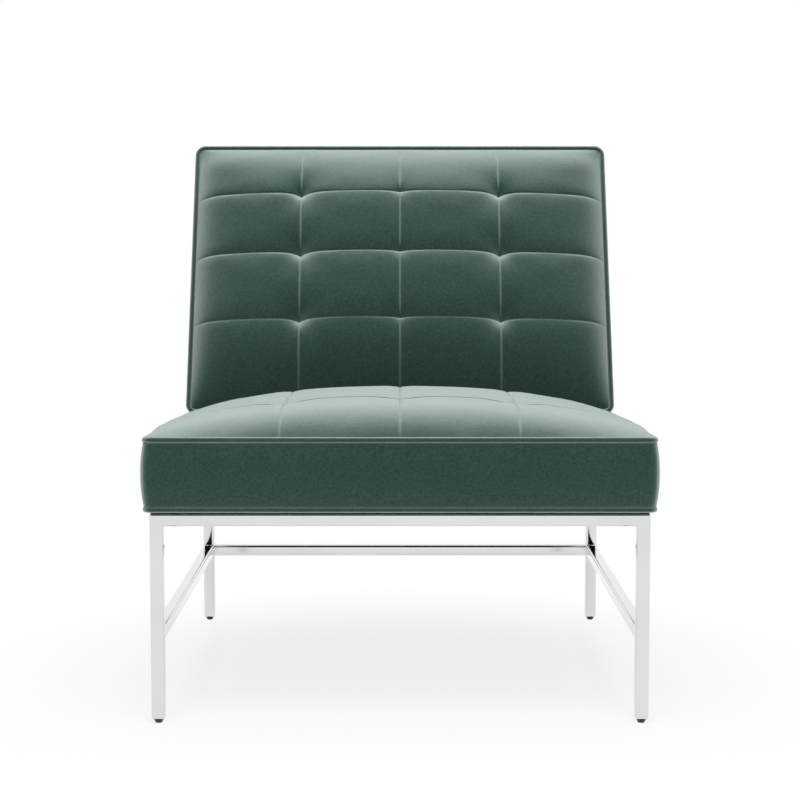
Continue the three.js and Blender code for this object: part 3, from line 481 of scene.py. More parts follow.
# %% Sizes of the upholstery
WELT = 4.2
WELT_CLEARANCE = 0.7
INSET = WELT + WELT_CLEARANCE  # from a seam's middle to the border of the cover inside it
STAND = WELT + 0.3  # from the seat's edge line up to the foot of the back
SEAT = {"half": 351.2, "front": -0.8, "rear": 730.8, "top_front": 397.0, "top_rear": 374.0, "foot": 300.5}
SEAT_CORNER = 3.0
SEAT_SWELL = 7.4
BACK = {"half": 351.2, "foot_y": 562.0, "head_y": 738.0, "head_z": 828.0, "top_thickness": 90.0}
BACK_CORNER = 8.0
BACK_SWELL = 4.0
BACK_FLARE = 0.007  # share by which the back is wider at its foot than at its head


def chair_point(x, y, z):
    places = np.asarray(x) / 1000, np.asarray(y) / 1000 + LEG_FRONT, np.asarray(z) / 1000
    return np.stack(np.broadcast_arrays(*places), axis=-1)


def seat_edge(y):
    """Height of the seat's upper seam, which falls towards the rear."""
    share = (y - SEAT["front"]) / (SEAT["rear"] - SEAT["front"])
    return SEAT["top_front"] + (SEAT["top_rear"] - SEAT["top_front"]) * share


BACK_FOOT = np.array([0, BACK["foot_y"], seat_edge(BACK["foot_y"]) + STAND])
BACK_HEAD = np.array([0, BACK["head_y"], BACK["head_z"]])
BACK_LENGTH = float(np.linalg.norm(BACK_HEAD - BACK_FOOT))
UP = (BACK_HEAD - BACK_FOOT) / BACK_LENGTH
OUT = np.array([0, -UP[2], UP[1]])
REAR_FOOT = np.array([0, SEAT["rear"], seat_edge(SEAT["rear"]) + STAND])
REAR_HEAD = BACK_HEAD - OUT * BACK["top_thickness"]
REAR_LENGTH = float(np.linalg.norm(REAR_HEAD - REAR_FOOT))
UP_REAR = (REAR_HEAD - REAR_FOOT) / REAR_LENGTH
OUT_REAR = np.array([0, UP_REAR[2], -UP_REAR[1]])
print("back leans", round(math.degrees(math.asin(UP[1])), 2), "degrees, length", round(BACK_LENGTH, 1))


def flared(x, up):
    return x * (1 + BACK_FLARE * (1 - np.clip(np.asarray(up) / BACK_LENGTH, 0, 1)))


def leaning_point(foot, up_way, out_way, x, up, out):
    x, up, out = np.broadcast_arrays(flared(x, up), up, out)
    place = foot + up[..., None] * up_way + out[..., None] * out_way
    return chair_point(x, place[..., 1], place[..., 2])


def back_point(x, up, out):
    return leaning_point(BACK_FOOT, UP, OUT, x, up, out)


def rear_point(x, up, out):
    return leaning_point(REAR_FOOT, UP_REAR, OUT_REAR, x, up, out)


# %% [markdown]
# Tufting without buttons is a grid of sewn seams. The stuffing rises in each panel, sinks to the seams
# and is drawn in hardest where seams cross. `tufted_height` is that rule over a flat sheet: a crown
# over the whole cushion, a narrow groove along each seam and a pit at each crossing, whose slopes run
# far into the panels. The CAD cover follows a plainer form of the rule, with even seams.

# %% The rule of the tufting
DRAWN_IN = 0.7  # share by which a cross seam is deeper where another seam crosses it
DRAWN_REACH = 14.0
WIDE_REACH = 18.0  # of the shallow hollow on either side of a seam


def hump(distance, width, power=2):
    """One at no distance, fading over a width."""
    return np.exp(-(distance / width) ** power)


def crown_share(place, low, high, power):
    """One in the middle of a stretch and zero at its ends. A high power keeps it flat for longer."""
    return np.maximum(0, 1 - np.abs((2 * place - low - high) / (high - low)) ** power)


def to_nearest(place, seams):
    return np.min(np.abs(place[..., None] - np.asarray(seams)), axis=-1)


def edge_distance(x, y, form):
    columns, rows = form["columns"], form["rows"]
    return np.minimum.reduce([x - columns[0], columns[-1] - x, y - rows[0], rows[-1] - y])


def tufted_height(x, y, form):
    """Height of the sewn cover over its border, in millimetres."""
    inner_rows = np.asarray(form["rows"][1:-1])
    across, along = to_nearest(x, form["columns"][1:-1]), to_nearest(y, inner_rows)
    settle = 1 - (1 - np.clip(edge_distance(x, y, form) / form["edge"], 0, 1)) ** 2
    crossing = hump(np.hypot(across, along), form["pit_width"], form["pit_power"])
    weaker = np.where(np.abs(x) < form["columns"][3] / 2, form["middle_share"], 1.0)
    nearest = np.argmin(np.abs(y[..., None] - inner_rows), axis=-1)
    deepened = 1 + DRAWN_IN * weaker * hump(across, DRAWN_REACH, 1)
    row_depth = np.asarray(form["row_grooves"])[nearest] * deepened
    row = row_depth * hump(along, form["row_width"], form["row_power"])
    column = form["column_groove"] * hump(across, form["column_width"], 1.2)
    wide = form["wide"] * hump(np.minimum(across, along), WIDE_REACH)
    relief = form["puff"] - np.maximum(row, column) - wide - weaker * form["pit"] * crossing
    return form["crown"](x, y) + settle * relief


# %% [markdown]
# The two crowns were read from the photo. The seat's shows in its outline and in how its light fades
# behind the front welt. The back's shows in the bow of its seams and in the bright top panel.

# %% The crowns and the two grids of seams
SEAT_HALF = SEAT["half"] - INSET
SEAT_ROWS = [SEAT["front"] + INSET, 160.0, 282.0, 418.0, BACK["foot_y"] - STAND]
SEAT_RISE, SEAT_CREST = 53.0, 336.0  # the crown's height, and where it is highest
FRONT_ROLL, FRONT_ROLL_LENGTH = 34.0, 27.0  # the steep part of that rise, behind the front welt
SIDE_ROLL_ROWS, SIDE_ROLL_SHARES = (100.0, SEAT_CREST), (0.27, 0.15)  # fuller in front than at the crest
BACK_HALF = BACK["half"] - INSET
BACK_ROWS = [INSET, *(BACK_LENGTH - below for below in (334.0, 216.0, 108.0)), BACK_LENGTH - INSET]
BACK_PLATEAU, BACK_BOW = 35.5, 24.0  # the two parts of its rise: flat to the sides, and bowed
TOP_LEAN = 0.41  # fall of the top panel per length
TOP_ROLL, TOP_ROLL_LENGTH = 59.0, 46.0  # where the roll over to the upper welt starts, and its scale
TOP_ROLL_END = 1.28


def seat_crown(x, y):
    """Steep behind the front welt, then a long low rise to the crest, and down again under the back."""
    low, end = SEAT_ROWS[0], SEAT_ROWS[-1]
    before = np.clip((SEAT_CREST - y) / (SEAT_CREST - low), 0, 1)
    behind = np.clip((y - SEAT_CREST) / (end - SEAT_CREST), 0, 1)
    roll = FRONT_ROLL * (1 - hump(np.maximum(y - low, 0), FRONT_ROLL_LENGTH, 1.1))
    front = roll + (SEAT_RISE - FRONT_ROLL) * (1 - before ** 3)
    along = np.where(y < SEAT_CREST, front, SEAT_RISE * (1 - behind ** 3))
    inside = np.maximum(SEAT_HALF - np.abs(x), 0)
    fuller = np.interp(y, SIDE_ROLL_ROWS, SIDE_ROLL_SHARES)
    side_roll = fuller * (1 - hump(inside, 2.5, 1)) * hump(inside, 28.0, 1)
    dip = 0.045 * hump(np.abs(x) / SEAT_HALF - 0.66, 0.12)
    middle = 0.06 * hump(x, 60.0)
    share = crown_share(x, -SEAT_HALF, SEAT_HALF, 3.6) + side_roll - dip + middle
    return np.where(y >= end, 0, along * share)


def back_crown(x, up):
    """Nearly flat over three panels; the top one leans back and rolls over to the upper welt."""
    side = np.clip(np.abs(x) / BACK_HALF, 0, 1)
    across = BACK_PLATEAU * (1 - side ** 24) + BACK_BOW * (1 - side ** 2)
    highest, length = BACK_ROWS[-2], BACK_ROWS[-1] - BACK_ROWS[-2]
    from_top = np.maximum(BACK_ROWS[-1] - up, 0)
    turn = np.clip((TOP_ROLL - from_top) / TOP_ROLL_LENGTH, 0, TOP_ROLL_END)
    rolled = np.where(turn < 1, turn ** 3 - turn ** 4 / 2, turn - 0.5) / (TOP_ROLL_END - 0.5)
    lean_back = TOP_LEAN * (1 - 0.75 * side ** 2)
    roll_drop = np.maximum(across - lean_back * length, 0) * rolled
    above = across - lean_back * (length - from_top) - roll_drop
    below = across * (1 - np.clip((highest - up) / (highest - BACK_ROWS[0]), 0, 1) ** 7)
    return np.maximum(0, np.where(up < highest, below, np.minimum(above, across)))


SEAT_FORM = {
    "columns": [-SEAT_HALF, -167.0, 0.0, 167.0, SEAT_HALF], "rows": SEAT_ROWS, "crown": seat_crown,
    "puff": 1.2, "row_grooves": [7.0, 7.0, 7.0], "row_width": 3.0, "row_power": 8,
    "column_groove": 2.6, "column_width": 1.1, "wide": 0.6,
    "pit": 8.0, "pit_width": 30.0, "pit_power": 1.2, "middle_share": 0.8, "edge": 24.0,
}
BACK_FORM = {
    "columns": [-BACK_HALF, -168.0, 0.0, 168.0, BACK_HALF], "rows": BACK_ROWS, "crown": back_crown,
    "puff": 2.5, "row_grooves": [2.4, 3.8, 3.8], "row_width": 4.6, "row_power": 1.2,
    "column_groove": 2.0, "column_width": 0.8, "wide": 0.5,
    "pit": 20.0, "pit_width": 16.0, "pit_power": 1.0, "middle_share": 0.4, "edge": 26.0,
}
highest_seat = float(seat_crown(np.array(0.0), np.array(SEAT_CREST)))
print("the seat's crown rises", round(highest_seat, 1), "mm, the back's", BACK_PLATEAU + BACK_BOW)

# %% [markdown]
# The sheet for one cushion is a grid whose lines crowd together at the seams, so that a groove is a few
# millimetres wide and the panels stay light. At the corners the grid bends into a quarter circle.

# %% The grid of a cover
GRID_STEP = 6.0


def grid_lines(seams, step, close=(0.8, 1.8, 2.6, 3.4, 4.2)):
    lines = []
    for low, high in zip(seams, seams[1:]):
        inner_low, inner_high = low + close[-1], high - close[-1]
        count = max(2, round((inner_high - inner_low) / step))
        lines.append(low)
        lines.extend(low + near for near in close[:-1])
        lines.extend(np.linspace(inner_low, inner_high, count + 1))
        lines.extend(high - near for near in reversed(close[:-1]))
    lines.append(seams[-1])
    return np.array(lines)


def rounded_grid(columns, rows, radius):
    """Places of the grid, with each square corner bent into a quarter circle."""
    x, y = np.meshgrid(columns, rows)
    middle_x, middle_y = (columns[0] + columns[-1]) / 2, (rows[0] + rows[-1]) / 2
    half_x, half_y = (columns[-1] - columns[0]) / 2 - radius, (rows[-1] - rows[0]) / 2 - radius
    side_x, side_y = np.sign(x - middle_x), np.sign(y - middle_y)
    over_x = np.clip((np.abs(x - middle_x) - half_x) / radius, 0, 1)
    over_y = np.clip((np.abs(y - middle_y) - half_y) / radius, 0, 1)
    round_x = over_x * np.sqrt(1 - over_y ** 2 / 2) - over_x
    round_y = over_y * np.sqrt(1 - over_x ** 2 / 2) - over_y
    return x + side_x * round_x * radius, y + side_y * round_y * radius


def border_of(shape):
    """Indices of the grid's edge, anticlockwise."""
    tall, wide = shape
    index = np.arange(tall * wide).reshape(shape)
    return np.concatenate([index[0, :-1], index[:-1, -1], index[-1, :0:-1], index[:0:-1, 0]])


def grid_faces(shape):
    index = np.arange(shape[0] * shape[1]).reshape(shape)
    return np.stack([index[:-1, :-1], index[:-1, 1:], index[1:, 1:], index[1:, :-1]], axis=-1).reshape(-1, 4)


print("grid of the back", *(len(grid_lines(BACK_FORM[way], GRID_STEP)) for way in ("columns", "rows")))

# %% [markdown]
# The stuffing is then let loose. The sheet becomes cloth that is sewn down along every seam and at the
# border, is a little larger than its place, and is pressed outwards by the filling. What it gains in
# twenty frames is the swell of each panel. The gain is capped, so the cover can't leave its place, and
# each point's gain is blended with its neighbours'.

# %% Filling the panels with cloth simulation
PRESSURE = 5  # of the filling on the cloth
SLACK = 0.002  # share by which the cloth is larger
FRAMES = 20


def smoothed(values, shape, rounds=2):
    """The grid's values with each blended towards its neighbours, border kept."""
    grid = values.reshape(*shape, -1).copy()
    for _ in range(rounds):
        around = (grid[:-2, 1:-1] + grid[2:, 1:-1] + grid[1:-1, :-2] + grid[1:-1, 2:]) / 4
        grid[1:-1, 1:-1] = 0.5 * grid[1:-1, 1:-1] + 0.5 * around
    return grid.reshape(values.shape)


def seam_hold(x, y, form):
    """How firmly each point is sewn down: full on a seam, fading over a few millimetres."""
    near = np.minimum(to_nearest(x, form["columns"]), to_nearest(y, form["rows"]))
    return np.clip(1 - (near - 1.0) / 3.0, 0, 1)


def filled(name, points, shape, held, cap):
    """The sheet's points after the cloth has been pressed out by no more than the cap, in metres."""
    held = np.round(held.ravel(), 2)
    held[border_of(shape)] = 1
    sheet = placed(name, mesh_of(name, points.tolist(), [], grid_faces(shape).tolist()))
    pins = sheet.vertex_groups.new(name="sewn")
    for weight in np.unique(held[held > 0]):
        pins.add(np.flatnonzero(held == weight).tolist(), float(weight), "REPLACE")
    cloth_modifier = sheet.modifiers.new("Cloth", "CLOTH")
    settings = cloth_modifier.settings
    settings.quality = 6
    settings.mass = 0.3
    settings.tension_stiffness = settings.compression_stiffness = 15
    settings.shear_stiffness = 5
    settings.bending_stiffness = 0.8
    settings.use_pressure = True
    settings.uniform_pressure_force = PRESSURE
    settings.shrink_min = -SLACK
    settings.vertex_group_mass = "sewn"
    settings.effector_weights.gravity = 0
    cloth_modifier.collision_settings.use_collision = False
    cloth_modifier.point_cache.frame_start, cloth_modifier.point_cache.frame_end = 1, FRAMES
    for moment in range(1, FRAMES + 1):
        scene.frame_set(moment)
    evaluated = sheet.evaluated_get(bpy.context.evaluated_depsgraph_get())
    after = np.empty(len(points) * 3)
    evaluated.data.vertices.foreach_get("co", after)
    moved = after.reshape(-1, 3) - points
    bpy.data.objects.remove(sheet)
    scene.frame_set(1)
    length = np.linalg.norm(moved, axis=1, keepdims=True)
    moved *= np.minimum(1, cap / np.maximum(length, 1e-9))
    print(name, "moved at most", round(float(length.max()) * 1000, 1), "mm, kept to", cap * 1000)
    return points + smoothed(moved, shape)


# %% [markdown]
# The cushion is one closed skin. Its top is the tufted sheet. From the sheet's border the velvet dips
# round the inner side of the welt, swells out as the boxing, dips round the second welt and closes
# under or behind. Each dip and the swell are rings of the same border points, moved outwards by some
# millimetres, so the skin stays one piece with even faces.

# %% Rings of the boxing
LEDGE = 0.4  # share of the swell by which the boxing already stands out beside the welts


def outward_of(x, y):
    """Outward direction at each point of a closed border, anticlockwise."""
    ahead_x, ahead_y = np.roll(x, -1) - np.roll(x, 1), np.roll(y, -1) - np.roll(y, 1)
    length = np.hypot(ahead_x, ahead_y)
    return ahead_y / length, -ahead_x / length


def welt_arc(swell, steps=5):
    """(offset, depth) along the arc by which the cover hugs a welt, from its border to the boxing."""
    angles = [math.pi / 2 * k / steps for k in range(1, steps + 1)]
    angles.append(math.pi / 2 + 0.5 * math.asin(LEDGE * swell / INSET))
    return [(INSET - INSET * math.cos(angle), INSET * math.sin(angle)) for angle in angles]


def hug_depth(swell):
    """Depth at which the arc round the welt ends and the boxing starts."""
    return INSET * math.cos(math.asin(LEDGE * swell / INSET))


def boxing_rings(swell, far_hug, far_least=0.0):
    """(offset outwards, share of the way, shift along it) of each ring from one welt to the other."""
    hug = hug_depth(swell)
    rings = [(offset, 0, depth) for offset, depth in welt_arc(swell)]
    for share in (0, 0.008, 0.03, *np.linspace(0.07, 0.93, 17), 0.97, 0.992, 1):
        bulge = LEDGE + (1 - LEDGE) * (1 - abs(2 * share - 1) ** 2.2)
        rings.append((INSET + swell * bulge, share, hug - share * (hug + far_hug)))
    rings += [(offset, 1, -max(depth, far_least)) for offset, depth in reversed(welt_arc(swell))]
    return rings


def ringed_skin(name, top, shape, rings):
    """A mesh of the top sheet and its rings, still open inside the last ring."""
    above = border_of(shape)
    count = len(above)
    faces = grid_faces(shape).tolist()
    for k in range(len(rings)):
        below = len(top) + k * count + np.arange(count)
        after = np.roll(np.arange(count), -1)
        faces.extend(np.stack([above, below, below[after], above[after]], axis=-1).tolist())
        above = below
    mesh = mesh_of(name, np.concatenate([top, *rings]).tolist(), [], faces)
    mesh.validate()
    return mesh


def closed(mesh):
    """The mesh with its one opening filled by a face."""
    shape = bmesh.new()
    shape.from_mesh(mesh)
    bmesh.ops.holes_fill(shape, edges=[edge for edge in shape.edges if edge.is_boundary], sides=0)
    bmesh.ops.triangulate(shape, faces=[face for face in shape.faces if len(face.verts) > 4])
    bmesh.ops.recalc_face_normals(shape, faces=shape.faces)
    shape.to_mesh(mesh)
    shape.free()
    return mesh


def cushion(name, mesh, *stands_for):
    """A cushion from its open skin, made finer, closed and dressed in velvet."""
    carrier = placed("carrier", mesh)
    finer = carrier.modifiers.new("finer", "SUBSURF")
    finer.levels = finer.render_levels = 1
    skin = closed(modified(carrier, name))
    print(name, "triangles", 2 * len(skin.polygons))
    return finished(name, skin, *stands_for, material=velvet, slot="velvet", sharp=60)


# %% [markdown]
# The seat. Its top is tufted up to the foot of the back, and runs on flat beneath it. The top welt
# falls towards the rear, so the boxing is lower there. The stuffing rolls out a little over the welts,
# and the boxing's upright corner seams draw its swell in.

# %% Seat cushion
OVERHANG, OVERHANG_REACH = 4.6, 6.0
CORNER_PULL_X = (5.5, 1.2)  # how far a corner is drawn in at the sides, and over what length
CORNER_PULL_Y = (1.0, 2.0)  # the same at the front and the rear
UNDERSIDE = 2.9  # below the middle of the lower welt
CLOSING_OFFSETS = (0, -8, -60)


def overhang(x, up, form):
    """How far the roll of stuffing beside the border leans out over the welt."""
    columns, rows = form["columns"], form["rows"]
    sides = []
    for distances in ((x - columns[0], columns[-1] - x), (up - rows[0], rows[-1] - up)):
        lean_low, lean_high = (far / OVERHANG_REACH * np.exp(1 - far / OVERHANG_REACH) for far in distances)
        sides.append(OVERHANG * (lean_high - lean_low))
    return sides


def corner_pull(x, y, half_x, low_y, high_y, most, reach):
    """Full at the upright corner seams of a boxing, fading along the sides."""
    along = np.maximum(half_x - np.abs(x), np.minimum(y - low_y, high_y - y))
    return most * hump(np.maximum(along, 0), reach, 1)


def seat_mesh():
    low, foot, rear = SEAT_ROWS[0], SEAT_ROWS[-1], SEAT["rear"] - INSET
    under_back = np.linspace(foot, rear - SEAT_CORNER, 10)[1:]
    corner = np.linspace(rear - SEAT_CORNER, rear, 4)[1:]
    rows = np.concatenate([grid_lines(SEAT_ROWS, GRID_STEP), under_back, corner])
    x, y = rounded_grid(grid_lines(SEAT_FORM["columns"], GRID_STEP), rows, SEAT_CORNER)
    tufted = y < foot
    height = seat_edge(y) + np.where(tufted, tufted_height(x, y, SEAT_FORM), 0)
    lean_x, _ = overhang(x, y, SEAT_FORM)
    top = chair_point(x + np.where(tufted, lean_x, 0), y, height).reshape(-1, 3)
    held = np.where(tufted, seam_hold(x, y, SEAT_FORM), 1)
    top = filled("seat_filling", top, x.shape, held, cap=0.0012)
    border = border_of(x.shape)
    edge_x, edge_y = x.ravel()[border], y.ravel()[border]
    out_x, out_y = outward_of(edge_x, edge_y)
    square = np.maximum(np.abs(out_x), np.abs(out_y))
    pull_x = corner_pull(edge_x, edge_y, SEAT_HALF, low, rear, *CORNER_PULL_X) / SEAT_SWELL
    pull_y = corner_pull(edge_x, edge_y, SEAT_HALF, low, rear, *CORNER_PULL_Y) / SEAT_SWELL

    def ring(offset, share, shift):
        """The border moved outwards, and a share of the way down from one welt to the other."""
        hugging, beyond = min(offset, INSET), max(0, offset - INSET) / square
        at_x = edge_x + out_x * (hugging + beyond * (1 - pull_x))
        at_y = edge_y + out_y * (hugging + beyond * (1 - pull_y))
        return chair_point(at_x, at_y, seat_edge(edge_y) * (1 - share) + SEAT["foot"] * share - shift)

    places = boxing_rings(SEAT_SWELL, hug_depth(SEAT_SWELL))
    places += [(0, 1, 0), *((offset, 1, UNDERSIDE) for offset in CLOSING_OFFSETS)]
    return ringed_skin("seat_skin", top, x.shape, [ring(*place) for place in places])


seat_cushion = cushion("seat_cushion", seat_mesh(), "seat_cover", "seat_foam")

# %% [markdown]
# The back is made in the same way on its own leaning face. Its boxing is a wedge: deep at the foot,
# where it stands on the seat, and 90 mm deep at the top. So each ring lies a share of the way between
# the front face and the rear face, and the ends hug the two welts.

# %% Back cushion
CROWN_TILT = 0.1  # how far the crown leans upwards, per height
REAR_HUG = INSET + 1
REAR_DEPTH = 3.4  # of the closing rings, in front of the rear panel's seam


def back_mesh():
    columns, rows = grid_lines(BACK_FORM["columns"], GRID_STEP), grid_lines(BACK_ROWS, GRID_STEP)
    x, up = rounded_grid(columns, rows, BACK_CORNER)
    rise = tufted_height(x, up, BACK_FORM)
    lean_x, lean_up = overhang(x, up, BACK_FORM)
    top = back_point(x + lean_x, up + CROWN_TILT * np.maximum(0, rise) + lean_up, rise).reshape(-1, 3)
    top = filled("back_filling", top, x.shape, seam_hold(x, up, BACK_FORM), cap=0.0018)
    border = border_of(x.shape)
    edge_x, edge_up = x.ravel()[border], up.ravel()[border]
    out_x, out_up = outward_of(edge_x, edge_up)
    at_foot = out_up < -0.5

    def ring(offset, share, shift):
        """The border moved outwards, and a share of the way from the front face to the rear one."""
        sideways = np.where(at_foot, min(offset, INSET), offset)
        at_x, at_up = edge_x + out_x * sideways, edge_up + out_up * sideways
        front = BACK_FOOT + at_up[:, None] * UP
        way = REAR_FOOT + (at_up / BACK_LENGTH)[:, None] * (REAR_HEAD - REAR_FOOT) - front
        place = front + way * (share + shift / np.linalg.norm(way, axis=1, keepdims=True))
        return chair_point(flared(at_x, at_up), place[:, 1], place[:, 2])

    places = boxing_rings(BACK_SWELL, REAR_HUG, REAR_DEPTH)
    places += [(offset, 1, -REAR_DEPTH) for offset in CLOSING_OFFSETS]
    return ringed_skin("back_skin", top, x.shape, [ring(*place) for place in places])


back_cushion = cushion("back_cushion", back_mesh(), "back_cover", "back_foam")

# %% [markdown]
# Welts are cords wrapped in velvet and sewn into the seams. A cord follows its seam, and the tree above
# sweeps a circle along it, a little uneven as hand-sewn piping is. The rear cord stops above the seat.

# %% Welts
REAR_CORD_FOOT = 6.0  # up the rear face, where the rear cord ends
REAR_PATH_FOOT = -80.0  # so low that the corners of the path below are cut off


def seam_path(half, low, high, radius, step=7.0, corner_steps=8):
    """X and Y along a rounded rectangle, anticlockwise."""
    x, y_low, y_high = half - radius, low + radius, high - radius
    corners = []
    for *middle, angle in ((x, y_low, -90), (x, y_high, 0), (-x, y_high, 90), (-x, y_low, 180)):
        turns = np.radians(np.linspace(angle, angle + 90, corner_steps + 1))
        corners.append(middle + radius * np.stack([np.cos(turns), np.sin(turns)], axis=-1))
    path = []
    for corner, following in zip(corners, corners[1:] + corners[:1]):
        count = max(1, round(math.dist(corner[-1], following[0]) / step))
        path += [corner, np.linspace(corner[-1], following[0], count, endpoint=False)[1:]]
    return np.concatenate(path).T


def welt(name, path, stands_for, seed, closed=True):
    source = path_mesh(f"{name}_path", [path.tolist()], closed)
    mesh = made_by(piping, name, {"Radius": WELT / 1000, "Unevenness": 0.05, "Seed": seed}, source)
    finished(name, mesh, stands_for, slot="velvet")
    print(name, "faces", len(mesh.polygons))


piping = bead_tree("piping", velvet, sides=16)
x, y = seam_path(SEAT["half"], SEAT["front"], SEAT["rear"], SEAT_CORNER + INSET)
welt("seat_piping_top", chair_point(x, y, seat_edge(y)), "seat_welt_top", seed=1.0)
welt("seat_piping_bottom", chair_point(x, y, SEAT["foot"]), "seat_welt_bottom", seed=2.0)
x, up = seam_path(BACK["half"], 0, BACK_LENGTH, BACK_CORNER + INSET)
welt("back_piping_front", back_point(x, up, 0.0), "back_welt_front", seed=3.0)
rear_seam = seam_path(BACK["half"], REAR_PATH_FOOT, REAR_LENGTH, BACK_CORNER + INSET)
rear_seam = rear_seam[:, rear_seam[1] > REAR_CORD_FOOT]
gaps = np.linalg.norm(np.roll(rear_seam, 1, axis=1) - rear_seam, axis=0)
x, up = np.roll(rear_seam, -int(np.argmax(gaps)), axis=1)
welt("back_piping_rear", rear_point(x, up, 0.0), "back_welt_rear", seed=4.0, closed=False)

# %% [markdown]
# The outside back is velvet drawn over a card panel. It is nearly flat, with a softened edge and the
# slight fullness of a thin layer of wadding.

# %% Rear panel
PANEL_CLEARANCE = 0.3
PANEL_FULLNESS = 1.8
PANEL_EDGE, PANEL_EDGE_REACH = 0.9, 4.0  # how far the edge turns in, and over what width


def rear_panel_mesh():
    half, low, high = BACK_HALF - PANEL_CLEARANCE, 1.0, REAR_LENGTH - INSET - PANEL_CLEARANCE
    x, up = rounded_grid(np.linspace(-half, half, 120), np.linspace(low, high, 72), BACK_CORNER)
    edge = np.minimum.reduce([x + half, half - x, up - low, high - up])
    fullness = PANEL_FULLNESS * crown_share(x, -half, half, 4.0) * crown_share(up, low, high, 4.0)
    skin = fullness - PANEL_EDGE * (1 - np.clip(edge / PANEL_EDGE_REACH, 0, 1)) ** 2
    border = border_of(x.shape)
    rings = [rear_point(-x.ravel()[border], up.ravel()[border], depth) for depth in (-1.2, -2.0, -2.8)]
    return ringed_skin("rear_panel", rear_point(-x, up, skin).reshape(-1, 3), x.shape, rings)


rear_mesh = closed(rear_panel_mesh())
finished("rear_panel", rear_mesh, "back_rear_panel", material=velvet, slot="velvet", sharp=50)
print("rear panel faces", len(rear_mesh.polygons))

# %% [markdown]
# Under the seat a black dust cloth is stapled to the frame. It is one thin sheet, stretched but not
# quite flat: it sags a few millimetres between the rails.

# %% Dust cloth and its staples
DUST_MARGIN = 24.0  # from the edge of the CAD sheet to the cloth's own edge
DUST_SAG, DUST_CORNER = 5.0, 6.0
STAPLE_INSET = 7.0  # from the cloth's edge
STAPLE_HALF = 5.0
STAPLES_PER_EDGE, STAPLE_END_GAP = 12, 30.0
dust_low, dust_high = (np.array(corner) * 1000 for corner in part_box("dust_cover"))
cloth_half = dust_high[0] - DUST_MARGIN
cloth_front = dust_low[1] - LEG_FRONT * 1000 + DUST_MARGIN
cloth_rear = dust_high[1] - LEG_FRONT * 1000 - DUST_MARGIN


def dust_mesh():
    columns, rows = np.linspace(-cloth_half, cloth_half, 90), np.linspace(cloth_front, cloth_rear, 96)
    x, y = rounded_grid(columns, rows, DUST_CORNER)
    slack = crown_share(x, -cloth_half, cloth_half, 2.0) * crown_share(y, cloth_front, cloth_rear, 2.0)
    points = chair_point(x, y, dust_low[2] + 0.3 - DUST_SAG * slack).reshape(-1, 3)
    return mesh_of("dust_cloth", points.tolist(), [], grid_faces(x.shape)[:, ::-1].tolist())


dust_piece = finished("dust_cloth", dust_mesh(), "dust_cover", material=cloth, slot="dust_cloth")
thickness = dust_piece.modifiers.new("thickness", "SOLIDIFY")
thickness.thickness, thickness.offset = 0.0005, -1.0


def staple_paths():
    """Short lines along the four edges, evenly spaced but a little askew, as from a hand tool."""
    random = np.random.default_rng(5)
    wide, deep = (-cloth_half, cloth_half), (cloth_front, cloth_rear)
    paths = []
    for across, edges, (low, high) in ((True, deep, wide), (False, wide, deep)):
        for edge in (edges[0] + STAPLE_INSET, edges[1] - STAPLE_INSET):
            for place in np.linspace(low + STAPLE_END_GAP, high - STAPLE_END_GAP, STAPLES_PER_EDGE):
                middle = place + random.uniform(-4, 4)
                turn = random.uniform(-0.2, 0.2)
                beside = edge + random.uniform(-1, 1)
                along = np.array([-STAPLE_HALF, 0, STAPLE_HALF])
                ends = (middle + along, beside + along * turn)
                paths.append(chair_point(*(ends if across else ends[::-1]), dust_low[2] + 0.15).tolist())
    return paths


staple_lines = staple_paths()
staple_source = path_mesh("staple_paths", staple_lines, closed=False)
staples = made_by(bead_tree("staple", bright), "dust_cloth_staples", {"Radius": 0.0004}, staple_source)
finished("dust_cloth_staples", staples)
print("staples", len(staple_lines))

# %% [markdown]
# The CAD pieces whose shape is already right keep it and only get their materials: wood, springs,
# webbing, plates, tongues and screws.

# %% Materials of the kept CAD nodes
KEPT = {
    "seat_rail_": wood, "corner_block_": wood, "back_side_": wood, "back_rail_": wood,
    "seat_spring_": wire, "back_web_": bands, "corner_plate_": zinc, "seat_screw_": zinc,
    "back_tongue_": zinc, "tongue_screw_": zinc,
}
dressed = 0
for name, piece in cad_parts.items():
    for start, material in KEPT.items():
        if name.startswith(start):
            piece.data.materials.clear()
            piece.data.materials.append(material)
            dressed += 1
print("CAD nodes dressed", dressed)

# %% [markdown]
# The studio is white behind and below the chair and dark behind the camera, as a photographer's room
# is. The dark curtain shows only in the chrome, where it draws the thin black lines along the upper
# edges of the tubes. The main lamp hangs in front of the chair, high up, a second one over it, and a
# weak one stands for the lit floor in front. Their strengths were fitted to the photo, each lamp
# rendered alone. White is what the camera, reflections and see-through rays find.

# %% World, floor, curtain and lamps
FLOOR_WHITE = 0.83  # share of the floor's look that is plain white near the chair; the rest takes shadow


def background_rays(tree):
    """One where a ray belongs to what is seen, directly or in metal and glass, and zero for light."""
    rays = tree.nodes.new("ShaderNodeLightPath").outputs
    either = maths(tree, "ADD", rays["Is Camera Ray"], rays["Is Glossy Ray"])
    return maths(tree, "ADD", either, rays["Is Transmission Ray"], use_clamp=True)


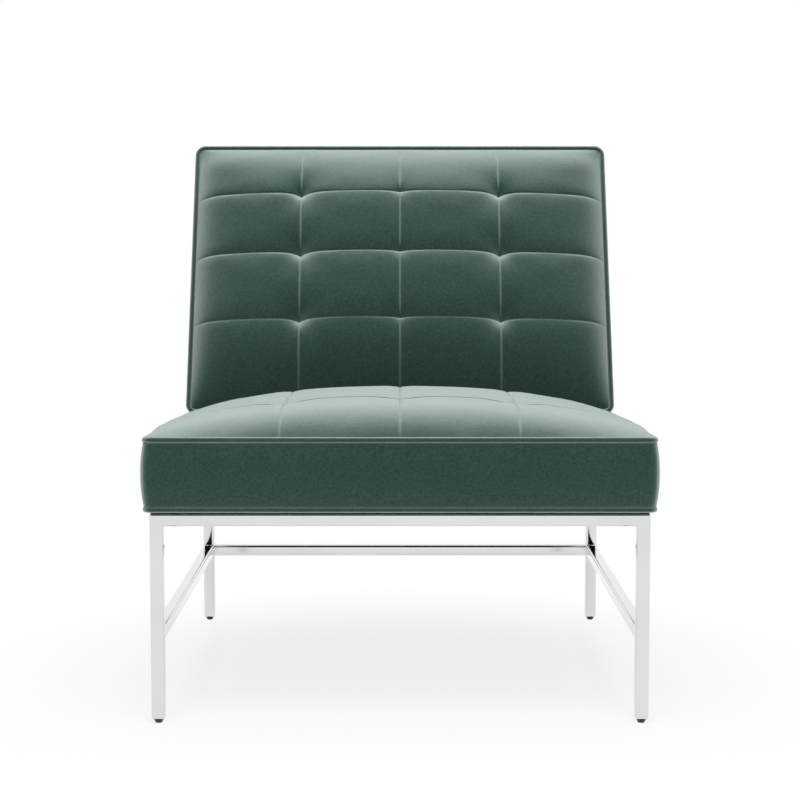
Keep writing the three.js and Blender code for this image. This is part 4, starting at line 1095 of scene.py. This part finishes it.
def floor_material():
    """Pale floor that runs out into the white of the background and is clear from below."""
    material, tree, shader = new_material(
        "studio_floor", Base_Color=(0.98, 0.98, 0.98, 1), Roughness=0.8, Specular_IOR_Level=0.0,
    )
    white = node(tree, "ShaderNodeEmission", Color=(1, 1, 1, 1), Strength=1.0)
    length = node(tree, "ShaderNodeVectorMath", {"operation": "DISTANCE"})
    fill(length, object_coordinates(tree), (0, -0.25, 0))
    far = node(
        tree, "ShaderNodeMapRange", {"interpolation_type": "SMOOTHSTEP"}, Value=length.outputs["Value"],
        From_Min=0.35, From_Max=0.95, To_Min=FLOOR_WHITE, To_Max=1.0,
    )
    share = maths(tree, "MULTIPLY", background_rays(tree), far.outputs["Result"])
    above = blend(tree, share, shader.outputs[0], white.outputs[0])
    clear = tree.nodes.new("ShaderNodeBsdfTransparent").outputs[0]
    underside = tree.nodes.new("ShaderNodeNewGeometry").outputs["Backfacing"]
    fill(tree.nodes["Material Output"], blend(tree, underside, above, clear))
    return material


def studio_plane(name, corners, material):
    mesh = mesh_of(name, corners, [], [(0, 1, 2, 3)])
    mesh.materials.append(material)
    plane = placed(name, mesh)
    return plane


def soft_lamp(name, place, size, power, target=(0, 0, 0.4)):
    data = bpy.data.lights.new(name, "AREA")
    data.shape, data.size, data.energy = "SQUARE", size, power
    lamp = placed(name, data)
    lamp.location = place
    lamp.rotation_euler = (Vector(target) - Vector(place)).to_track_quat("-Z", "Y").to_euler()
    lamp.visible_camera = lamp.visible_glossy = False


world = bpy.data.worlds.new("studio")
scene.world = world
world.use_nodes = True
tree = world.node_tree
tree.nodes.clear()
lighting = node(tree, "ShaderNodeBackground", Color=(1, 1, 1, 1), Strength=0.1).outputs[0]
white = node(tree, "ShaderNodeBackground", Color=(1, 1, 1, 1), Strength=1.0).outputs[0]
fill(tree.nodes.new("ShaderNodeOutputWorld"), blend(tree, background_rays(tree), lighting, white))
studio_plane("floor", [(-12, -12, 0), (12, -12, 0), (12, 12, 0), (-12, 12, 0)], floor_material())
dark, _, _ = new_material("dark_curtain", Base_Color=(0.02, 0.02, 0.02, 1), Specular_IOR_Level=0.0)
curtain = studio_plane("curtain", [(-11, -7, 0), (11, -7, 0), (11, -7, 9), (-11, -7, 9)], dark)
curtain.visible_camera = curtain.visible_diffuse = curtain.visible_transmission = False
curtain.visible_shadow = False
soft_lamp("overhead", (0, -0.4, 3.2), 3.0, 42)
soft_lamp("front_key", (0, -2.4, 3.2), 3.0, 104)
soft_lamp("floor_glow", (0, -1.9, 0.03), 2.4, 8, target=(0, -1.9, 1))
print("lamps", [lamp.name for lamp in bpy.data.lights])

scene.view_settings.view_transform = "Standard"
